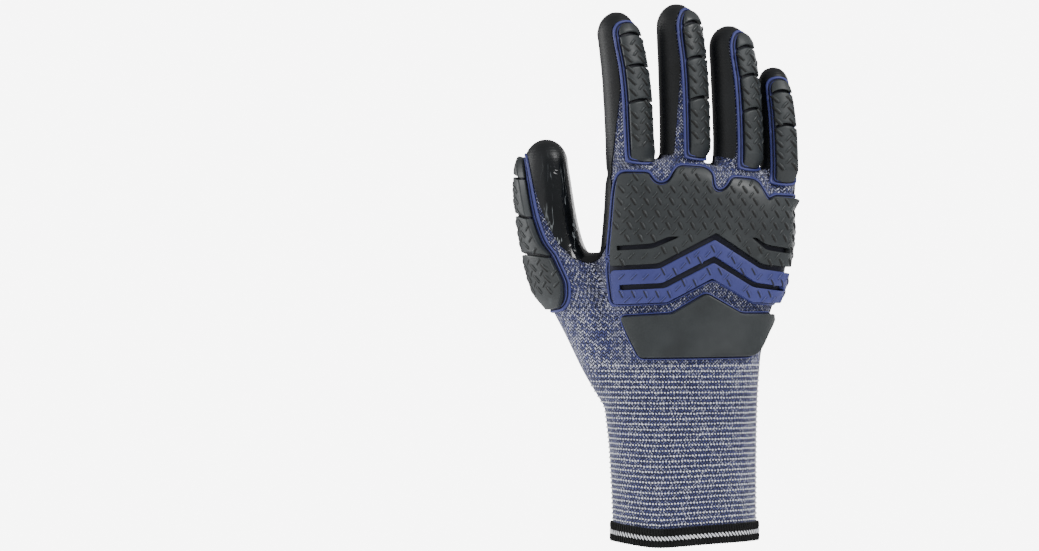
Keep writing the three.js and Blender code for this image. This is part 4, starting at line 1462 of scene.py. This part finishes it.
@dataclass
class CuffHem:
    """The overlocked band at the end of the cuff, with a white stitched stripe."""

    low: float = -0.2
    high: float = 8.6
    roll: float = 1.1
    inner_roll: float = 1.9
    steps: int = 240

    def build(self) -> None:
        """Makes the band, its black loops and its white stitches."""
        self.build_band()
        self.build_stitches("hem_white_stitches", Finish.WHITE_THREAD, 3.0, 5.2, 1.65, 128.0, 0.44, 0.9)
        self.build_stitches("hem_low_loops", Finish.BLACK_THREAD, -0.4, 3.2, 1.3, 96.0, 0.6, 1.0)
        self.build_stitches("hem_high_loops", Finish.BLACK_THREAD, 5.0, 8.5, 1.3, 98.0, 0.6, 0.85)

    def ring(self, angle: Array, height: Array, out: Array) -> Array:
        """A point on the band, a distance outside the knit."""
        spot = PALM.point(angle, np.full_like(angle, 4.0), follow=False)
        ahead = PALM.point(angle + 0.01, np.full_like(angle, 4.0), follow=False) - spot
        way = unit(ahead)
        spot[:, 0] += way[:, 1] * out
        spot[:, 1] -= way[:, 0] * out
        spot[:, 2] = height + HEM.wave(angle)
        return spot

    def build_band(self) -> None:
        """Sweeps the rolled profile round the cuff."""
        middle = (self.low + self.high) / 2
        half = (self.high - self.low) / 2

        def shape(u: Array, v: Array) -> Array:
            """Runs a long rounded profile round the knit's edge."""
            turn = v * 2 * math.pi
            height = middle - half * powered(np.cos(turn), 0.6)
            thick = np.where(np.sin(turn) > 0, self.roll, self.inner_roll)
            ribs = 0.12 * np.cos((height - self.low) * 2.6) * (np.sin(turn) > 0)
            out = thick * powered(np.sin(turn), 0.5) + ribs
            return self.ring(u * 2 * math.pi, height, out) * MM

        piece = Bench.sheet("cuff_hem", self.steps, 36, shape)
        Bench.weld(piece, 1e-5)
        settle(piece, Finish.BLACK_THREAD, ["cuff_hem"])

    def build_stitches(self, name: str, finish: Finish, low: float, high: float, pitch: float,
                       lean: float, width: float, thick: float) -> None:
        """Lays slanted threads side by side round the band.

        Args:
            name: The piece's name.
            finish: Its finish.
            low: Height of the threads' lower ends on the band.
            high: Height of their upper ends.
            pitch: Distance from thread to thread.
            lean: Their lean in degrees.
            width: Half the width of a thread.
            thick: Its thickness as a share of the usual one.
        """
        shape, faces = Bench.ball(6, 5)
        angle = np.linspace(0, 2 * math.pi, 2000)
        rail = self.ring(angle, np.full_like(angle, low), np.full_like(angle, 1.0))
        along = lengths(rail)
        count = int(along[-1] / pitch)
        chance = np.random.default_rng(len(name))
        spots = np.interp((np.arange(count) + 0.5) * along[-1] / count, along, angle)
        half = (high - low) / 2
        length = half / math.sin(math.radians(lean))
        points = []
        for spot in spots:
            turn = math.radians(lean + 4 * chance.standard_normal())
            local_x = shape[:, 2] * length * math.cos(turn) + shape[:, 0] * width * math.sin(turn)
            local_z = shape[:, 2] * length * math.sin(turn) - shape[:, 0] * width * math.cos(turn)
            shift = local_x * 2 * math.pi / along[-1]
            out = self.roll + thick * 0.12 + shape[:, 1] * 0.42 * thick
            points.append(self.ring(spot + shift, (low + high) / 2 + local_z, out))
        settle(Bench.sow(name, np.stack(points), faces), finish)


@dataclass
class Border:
    """The raised border of a blue sheet: an outer bead, a groove in navy painted shade and an inner bead.
    """

    name: str
    outline: Array
    surface: Surface
    outer: float = 0.62
    inner: float = 0.48
    groove_at: float = 1.45
    inner_at: float = 2.05
    top: float = 1.0
    step: float = 1.1
    groove: float = 0.3
    groove_sunk: float = 0.05

    def build(self) -> None:
        """Makes the three lines."""
        edge = softened(self.outline, self.step)
        inner_line = softened(grown(edge, -self.inner_at), self.step)
        rims = [FlatWork.bead(f"{self.name}_rim", grown(edge, -self.outer), self.outer, self.top),
                FlatWork.bead(f"{self.name}_inner_rim", inner_line, self.inner, self.top)]
        rim = Bench.join(f"{self.name}_rim", rims)
        fit(rim, self.surface, Finish.BLUE_RUBBER)
        # Painted shade: the groove between the beads is a navy line.
        groove_line = softened(grown(edge, -self.groove_at), self.step)
        height = self.top - self.groove_sunk
        line = FlatWork.bead(f"{self.name}_groove", groove_line, self.groove, height, sides=6, flat=0.6)
        fit(line, self.surface, Finish.BLUE_PAINTED_SHADE)


def tread(outline: Array, pitch: float, margin: float, skip: Sequence[Array] = (), shift: float = 0.0,
          slant: float = 0.08) -> list[Spot]:
    """Lays out a tread pattern: leaning marks in a checkerboard, alternate ones leaning the other way.

    Args:
        outline: The area that it fills.
        pitch: Distance from mark to mark.
        margin: Clear distance to the area's edge.
        skip: Areas that it leaves free.
        shift: Moves the whole pattern across.
        slant: How much the columns lean.

    Returns:
        Across, up and lean of each mark.
    """
    low, high = outline.min(axis=0), outline.max(axis=0)
    spots = []
    for row in range(math.floor(low[1] / pitch * 2) - 1, math.ceil(high[1] / pitch * 2) + 1):
        for column in range(math.floor(low[0] / pitch) - 2, math.ceil(high[0] / pitch) + 2):
            up = row * pitch / 2
            across = (column + 0.5 * (row % 2)) * pitch + shift + slant * up
            spots.append((across, up, -57.0 if row % 2 else 52.0))
    places = np.array([spot[:2] for spot in spots])
    keep = inside(outline, places) > margin
    for area in skip:
        keep &= inside(area, places) < -margin
    return [spot for spot, kept in zip(spots, keep) if kept]


class BackGuards:
    """The moulded guards on the back of the hand.

    Outlines are corners of across, up and an optional corner radius, as the camera sees them. The back
    stands nearer to the camera than the part's middle plane, so seen_share draws their heights closer
    to the camera's own.
    """

    lower_sheet = (
        (-34.6, 110.7, 1), (-8.4, 111.7, 1.5), (12.6, 122.8, 1.5), (31.2, 111.8, 1.5), (45.4, 111.0, 1),
        (48.6, 120.0), (50.4, 127.0), (52.0, 136.0),
    )
    left_sheet = ((-37.2, 134.0, 3), (-37.6, 127.0, 4), (-36.0, 113.4, 1))
    lower_knuckle = (
        (-35.3, 129.7, 1.2), (-13.0, 130.9, 2), (14.2, 145.2, 1), (35.8, 130.5, 2), (51.6, 129.1, 2),
    )
    upper_knuckle = (
        (52.6, 138.0), (53.2, 150.0), (53.0, 161.6, 4.5), (42.6, 162.4, 1.5), (38.9, 159.7, 2),
        (36.5, 164.6, 1), (34.2, 169.7, 2.2), (22.4, 170.6, 1), (19.9, 166.1, 3), (16.5, 164.0, 2),
        (13.6, 164.0, 2.4), (12.2, 167.0, 1), (12.0, 172.6, 1.5), (9.2, 175.4, 2), (-3.4, 176.0, 1.5),
        (-5.1, 173.2, 2), (-6.6, 170.0, 2), (-9.2, 167.6, 2.4), (-13.0, 167.2, 2.4), (-16.0, 169.2, 2),
        (-17.4, 172.7, 1.2), (-31.5, 172.8, 3), (-33.0, 165.0, 3), (-34.2, 149.5, 6), (-35.5, 135.4, 4),
    )
    knuckle_slots = (
        ((-32.3, 136.9, 0.6), (-15.4, 137.8, 2), (-4.6, 142.4, 0.8), (-3.2, 143.4, 0.5), (-8.1, 143.4, 2),
         (-15.6, 140.2, 2), (-32.3, 139.1, 0.6)),
        ((48.1, 135.6, 0.6), (48.1, 138.0, 0.6), (37.4, 139.8, 2), (33.0, 143.0, 1), (30.6, 143.0, 0.5),
         (37.6, 137.1, 2)),
    )
    chevron_corners = (
        (-33.9, 111.8, 1.5), (-8.7, 112.8, 1.5), (12.5, 124.0, 1), (30.9, 112.9, 1.5), (44.9, 112.1, 2),
        (47.3, 120.0, 3), (48.8, 126.3, 2), (34.8, 128.4, 1.5), (13.6, 141.9, 0.8), (-12.2, 128.5, 1.5),
        (-35.6, 127.6, 2.5),
    )
    chevron_slot = (
        (-31.0, 118.4, 0.4), (-9.7, 119.4, 1.5), (13.1, 131.2, 1), (31.5, 119.8, 1.5), (45.2, 117.9, 0.4),
        (45.2, 120.2, 0.4), (32.8, 122.0, 1.5), (13.4, 134.4, 1), (-11.0, 121.8, 1.5), (-31.0, 120.9, 0.4),
    )
    wrist_corners = (
        (-21.8, 87.1, 1.5), (32.1, 87.7, 2), (35.6, 90.6, 2), (41.8, 104.0, 1.5), (41.6, 107.3, 1),
        (26.6, 107.3, 1.5), (9.9, 116.8, 2), (-6.5, 107.3, 1.5), (-30.9, 106.0, 1.5), (-27.6, 98.0, 5),
    )
    seen_share = 0.989
    sheet_low, sheet_top = 0.35, 1.0
    shade_plate_low = 0.9
    knuckle_top = 4.4
    chevron_top = 4.2
    wrist_top = 4.2

    def __init__(self) -> None:
        """Makes the map that lays the guards."""
        self.surface = PalmMap()

    def flat(self, corners: Sequence[Corner], height: float = 4.3, step: float = 2.0) -> Array:
        """Unrolls an outline as the camera sees it at a height above the skin."""
        return self.unroll(even(rounded(corners), step), height)

    def unroll(self, spots: Array, height: float) -> Array:
        """Unrolls seen points onto the skin; what reaches past the right edge runs on round it."""
        up = EYE_Z + (spots[:, 1] - EYE_Z) * self.seen_share
        return np.column_stack([[self.surface.across(x, z, height) for x, z in zip(spots[:, 0], up)], up])

    @staticmethod
    def count(corners: Sequence[Corner]) -> int:
        """How many points the corners have once they are rounded."""
        return sum(CORNER_STEPS if len(corner) > 2 else 1 for corner in corners)

    def sheet_outline(self) -> Array:
        """The blue sheet's outline: it follows the knuckle guard at the top and the chevron below."""
        guard = rounded(self.lower_knuckle + self.upper_knuckle)
        upper = grown(guard, 1.9)[self.count(self.lower_knuckle):]
        bottom = rounded(self.lower_sheet + self.left_sheet)
        split = self.count(self.lower_sheet)
        return self.unroll(even(np.concatenate([bottom[:split], upper, bottom[split:]]), 1.6), 1.0)

    def build(self) -> None:
        """Makes all guards of the back."""
        self.build_sheet()
        self.build_valley_shade()
        self.build_knuckles()
        self.build_chevron()
        self.build_wrist()

    def plate(self, name: str, outline: Array, low: float, high: float, bevel: float, finish: Finish,
              slot: str, nodes: Sequence[str] = (), slots: Sequence[Array] = ()) -> None:
        """Makes and lays one plate.

        Args:
            name: The plate's name.
            outline: Its flat outline.
            low: Height of its underside.
            high: Height of its top.
            bevel: Width of the rounding along its upper edges.
            finish: Its finish.
            slot: The material slot of the record that it belongs to; not used.
            nodes: The plain solids that it stands for.
            slots: Outlines of the slots cut through it.
        """
        piece = FlatWork.plate(name, outline, low, high, bevel, slots)
        fit(piece, self.surface, finish, nodes, 40.0)

    def sheet(self, name: str, outline: Array) -> None:
        """Makes the thin blue sheet under a guard."""
        self.plate(name, outline, self.sheet_low, self.sheet_top, 0.25, Finish.BLUE_RUBBER,
                   "blue_rubber", [name])

    def floor(self, name: str, outline: Array, top: float, slot: str) -> None:
        """Makes a navy plate of painted shade in a slot or between two guards, where the blue sheet lies in
        shadow.
        """
        self.plate(name, outline, self.shade_plate_low, top, 0, Finish.BLUE_PAINTED_SHADE, slot)

    def add_tread(self, name: str, places: Sequence[Spot], top: float, finish: Finish,
                  slot: str) -> None:
        """Stands tread marks on the top of a guard."""
        Tread(name, places, top, self.surface, finish, slot).build()

    def build_sheet(self) -> None:
        """Makes the blue sheet with its border."""
        outline = self.sheet_outline()
        self.sheet("back_guard_base", outline)
        Border("back_border", outline, self.surface).build()

    def build_valley_shade(self) -> None:
        """Makes the navy plate of painted shade between the knuckle guard and the chevron."""
        lower = [(x, z - 1.2) for x, z, _ in self.chevron_corners[6:][::-1]]
        upper = [(x, z + 1.0) for x, z, _ in self.lower_knuckle[::-1]]
        self.floor("guard_valley_shade", self.flat(lower + upper, 1.6), 1.7, "blue_rubber")

    def build_knuckles(self) -> None:
        """Makes the black knuckle guard with its slots and tread."""
        outline = self.flat(self.lower_knuckle + self.upper_knuckle, 4.0, 1.6)
        slots = [self.flat(corners) for corners in self.knuckle_slots]
        self.plate("knuckle_guard", outline, self.sheet_top, self.knuckle_top, 0.7,
                   Finish.BLACK_RUBBER, "black_rubber", ["knuckle_guard"], slots)
        for index, slot in enumerate(slots):
            self.floor(f"knuckle_slot_floor_{index + 1}", grown(slot, 0.5), 1.6, "black_rubber")
        places = tread(outline, 5.6, 1.4, slots)
        self.add_tread("knuckle", places, self.knuckle_top, Finish.BLACK_RUBBER, "black_rubber")

    def build_chevron(self) -> None:
        """Makes the blue double chevron with its long slot and tread."""
        outline = self.flat(self.chevron_corners)
        slot = self.flat(self.chevron_slot)
        self.plate("chevron_guard", outline, self.sheet_top, self.chevron_top, 0.6,
                   Finish.BLUE_RUBBER, "blue_rubber", ["chevron_guard"], [slot])
        self.floor("chevron_slot_shade", grown(slot, 0.5), 1.5, "blue_rubber")
        places = tread(outline, 5.2, 1.25, [slot])
        self.add_tread("chevron", places, self.chevron_top, Finish.BLUE_RUBBER, "blue_rubber")

    def build_wrist(self) -> None:
        """Makes the plain wrist plate on its blue sheet."""
        outline = self.flat(self.wrist_corners, self.wrist_top)
        sheet = grown(outline, 1.2)
        self.sheet("wrist_guard_base", sheet)
        Border("wrist_border", sheet, self.surface, 0.4, 0.2, 0.95, 1.2).build()
        self.plate("wrist_guard", outline, self.sheet_top, self.wrist_top, 1.3,
                   Finish.BLACK_RUBBER, "black_rubber", ["wrist_guard"])


@dataclass
class DigitGuard:
    """The moulded guard of one digit: blue border sheet, black segments and tread."""

    digit: DigitForm
    left: float = 2.75
    right: float = -0.5
    height: float = 3.4
    groove: float = 1.2
    arch: float = 1.6
    slope: float = 5.5
    edge: float = 1.6
    shade_inset: float = 2.4
    overlap: float = 2.2
    foot_arch: float = -1.2
    head_arch: float = 2.4
    foot_drop: float = 2.2
    head_drop: float = 1.4
    head_slope: float = 5.0
    base: float = 1.0
    cell: float = 1.8

    def side(self, ups: Array, share: float, inset: float) -> Array:
        """One side line of the guard: share -1 is its left edge and 1 its right edge."""
        half = DigitMap(self.digit).half(ups)
        return np.column_stack([share * half - np.sign(share) * inset, ups * self.digit.length])

    def outline(self, low: float, high: float, left: float, right: float, arch_low: float,
                arch_high: float, dome: bool = False) -> Array:
        """A counter-clockwise outline between two heights with arched ends, or a round top."""
        length = self.digit.length
        ups = np.linspace(low, high, max(3, int((high - low) * length / 1.6)))
        first, last = self.side(ups, -1.0, left), self.side(ups, 1.0, right)
        count = 12 if dome else 8
        share = np.linspace(0, 1, count)[1:-1]
        hump = 1 - (2 * share - 1) ** 2
        bottom = first[0] + (last[0] - first[0]) * share[:, None]
        bottom[:, 1] += arch_low * hump
        top = last[-1] + (first[-1] - last[-1]) * share[:, None]
        top[:, 1] += arch_high * (np.sqrt(hump) if dome else hump)
        return np.concatenate([first[:1], bottom, last, top, first[::-1][:-1]])

    def build(self) -> None:
        """Makes the sheet with its border and the pads."""
        digit, surface = self.digit, DigitMap(self.digit)
        name = digit.name
        left, right = min(0.0, self.left - self.overlap), min(0.0, self.right - self.overlap)
        sheet = self.outline(digit.foot, digit.head - 0.012, left, right, self.foot_arch, 3.4, True)
        piece = FlatWork.plate(f"{name}_guard_base", sheet, 0.3, self.base, 0.25)
        fit(piece, surface, Finish.BLUE_RUBBER, [f"{name}_guard_base"], 40.0)
        Border(f"{name}_border", even(sheet, 1.6), surface).build()
        self.build_groove_shade(surface)
        self.build_pads(surface)

    def build_groove_shade(self, surface: DigitMap) -> None:
        """Makes the navy plate of painted shade that shows in the flex grooves."""
        digit = self.digit
        inset = self.shade_inset / digit.length
        left, right = self.left + 0.5, self.right + 0.5
        seat = self.outline(digit.foot + inset, digit.head - inset, left, right, 0, 1.5)
        top = max(1.7, self.height - 2.0)
        floor = FlatWork.plate(f"{digit.name}_guard_seat", seat, 0.9, top, 0, (), self.cell)
        fit(floor, surface, Finish.BLUE_PAINTED_SHADE, (), 40.0)

    def build_pads(self, surface: DigitMap) -> None:
        """Makes the segments between the flex grooves and their tread."""
        digit = self.digit
        length, name = digit.length, digit.name
        gap = self.groove / length / 2
        foot, head = digit.foot + self.edge / length, digit.head - self.edge / length
        cuts = [foot, *digit.grooves, head]
        pads, marks = [], []
        for index, (start, end) in enumerate(zip(cuts, cuts[1:])):
            is_foot, is_head = index == 0, index == len(cuts) - 2
            low = start if is_foot else start + gap
            high = end if is_head else end - gap
            arch_low = self.foot_arch if is_foot else self.arch
            arch_high = self.head_arch if is_head else self.arch
            outline = self.outline(low, high, self.left, self.right, arch_low, arch_high, is_head)
            pad = FlatWork.plate(f"{name}_pad_{index}", outline, self.base, self.height, 0.6, (), self.cell)
            self.form(pad, is_foot, is_head)
            pads.append(pad)
            if is_head:
                continue
            free = outline.copy()
            if is_foot:
                free[:, 1] = np.maximum(free[:, 1], foot * length + self.slope)
            marks += tread(free, 5.2, 0.9, (), 0.4, 0.0)
        guard = Bench.join(f"{name}_guard", pads)
        fit(guard, surface, Finish.BLACK_RUBBER, [f"{name}_guard"], 40.0)
        Tread(name, marks, self.height, surface, Finish.BLACK_RUBBER, "black_rubber", self.crown).build()

    def crown(self, spots: Array) -> Array:
        """How much the pad's top falls towards its sides."""
        half = DigitMap(self.digit).half(spots[:, 1] / self.digit.length)
        middle = (self.left - self.right) / 2
        share = np.clip((spots[:, 0] - middle) / np.maximum(half, 0.1), -1, 1)
        return 0.5 - np.where(share < 0, 0.8, 0.1) * share**2

    def form(self, pad: Piece, is_foot: bool, is_head: bool) -> None:
        """Crowns a pad and slopes it at the guard's ends."""
        spots = Bench.points(pad)
        rise = np.clip((spots[:, 2] - self.base) / (self.height - self.base), 0, 1)
        drop = np.zeros(len(spots))
        length = self.digit.length
        if is_foot:
            half = DigitMap(self.digit).half(spots[:, 1] / length)
            share = np.clip(spots[:, 0] / np.maximum(half, 0.1), -1, 1)
            reach = self.slope * np.sqrt(1.15 - 0.8 * share**2)
            near = (spots[:, 1] - self.digit.foot * length - 1.0) / reach
            drop = self.foot_drop * (1 - np.clip(near, 0, 1))
        if is_head:
            near = (self.digit.head * length + 0.6 - spots[:, 1]) / self.head_slope
            drop = self.head_drop * (1 - np.clip(near, 0, 1)) ** 1.5
        spots[:, 2] += (self.crown(spots) - drop) * rise
        Bench.move(pad, spots)


@dataclass
class Studio:
    """Camera, floor, white surroundings and soft lights, in metres."""

    lens: float = 120.0
    distance: float = EYE_AWAY * MM
    aim: tuple[float, float] = (EYE_X * MM, EYE_Z * MM)
    target: Spot = (0.0, 0.0, 0.13)

    def build(self) -> None:
        """Sets up the picture."""
        self.build_camera()
        self.build_stage()
        self.add_light("key_light", (0.95, -0.75, 1.05), 0.45, 15.0)
        self.add_light("fill_light", (-1.1, -1.2, 0.4), 1.2, 5.0)
        self.add_light("side_light", (-1.35, 0.15, 0.35), 0.9, 14.0)
        self.add_light("rim_light", (0.85, 1.2, 0.35), 0.7, 5.0)
        self.build_world(0.5, 7.5)

    @staticmethod
    def build_world(glow: float, background: float) -> None:
        """Adds white surroundings, as bright as paper where the camera sees them."""
        world = bpy.data.worlds.new("studio_world")
        bpy.context.scene.world = world
        world.use_nodes = True
        tree = world.node_tree
        seen = tree.nodes.new("ShaderNodeLightPath").outputs["Is Camera Ray"]
        strength = tree.nodes.new("ShaderNodeMapRange")
        strength.inputs[3].default_value = glow
        strength.inputs[4].default_value = background
        tree.links.new(seen, strength.inputs[0])
        tree.nodes["Background"].inputs[0].default_value = (1.0, 1.0, 1.0, 1)
        tree.links.new(strength.outputs[0], tree.nodes["Background"].inputs[1])

    def build_camera(self) -> None:
        """Adds the camera and makes it the scene's own."""
        Bench.clear()
        x, z = self.aim
        bpy.ops.object.camera_add(location=(x, -self.distance, z), rotation=(math.pi / 2, 0, 0))
        camera = bpy.context.object
        camera.name = "studio_camera"
        camera.data.lens = self.lens
        camera.data.clip_start, camera.data.clip_end = 0.05, 20
        bpy.context.scene.camera = camera

    def build_stage(self) -> None:
        """Adds the pale floor."""
        Bench.clear()
        bpy.ops.mesh.primitive_circle_add(vertices=96, radius=0.5, fill_type="NGON", location=(0, 0, -0.05))
        floor = bpy.context.object
        floor.name = "studio_floor"
        floor.data.materials.append(self.paint("pale_floor", 0.35))

    @staticmethod
    def paint(name: str, glow: float) -> bpy.types.Material:
        """Builds the pale paint of the floor, which glows by itself."""
        paint = Nodes(name)
        tone = paint.noise(paint.place(), 8.0, 2.0)
        colour = paint.ramp(tone, [(0.3, (0.9, 0.9, 0.9)), (0.7, (0.93, 0.93, 0.93))])
        paint.set(Base_Color=colour, Roughness=0.85, Emission_Color=(1, 1, 1, 1), Emission_Strength=glow)
        return paint.material

    def add_light(self, name: str, place: Spot, size: float, power: float) -> None:
        """Adds a soft square light that faces the glove."""
        bpy.ops.object.light_add(type="AREA", location=place)
        light = bpy.context.object
        light.name = name
        light.data.shape = "SQUARE"
        light.data.size = size
        light.data.energy = power
        way = Vector(self.target) - Vector(place)
        light.rotation_euler = way.to_track_quat("-Z", "Y").to_euler()


def main() -> None:
    """Builds the glove piece by piece."""
    logging.basicConfig(level=logging.INFO, format="%(message)s", stream=sys.stdout)
    SKIN.build()
    LOG.info("skin: %d faces", len(SKIN.body.data.polygons))
    KnitLiner().build()
    PalmCoating().build()
    CuffHem().build()
    BackGuards().build()
    for digit in FINGERS[:3]:
        DigitGuard(digit).build()
    DigitGuard(FINGERS[3], right=1.7).build()
    DigitGuard(DIGITS[4], left=-0.5, right=3.3, height=5.2).build()
    Bench.drop(SKIN.body)
    Studio().build()


if __name__ == "__main__":
    main()
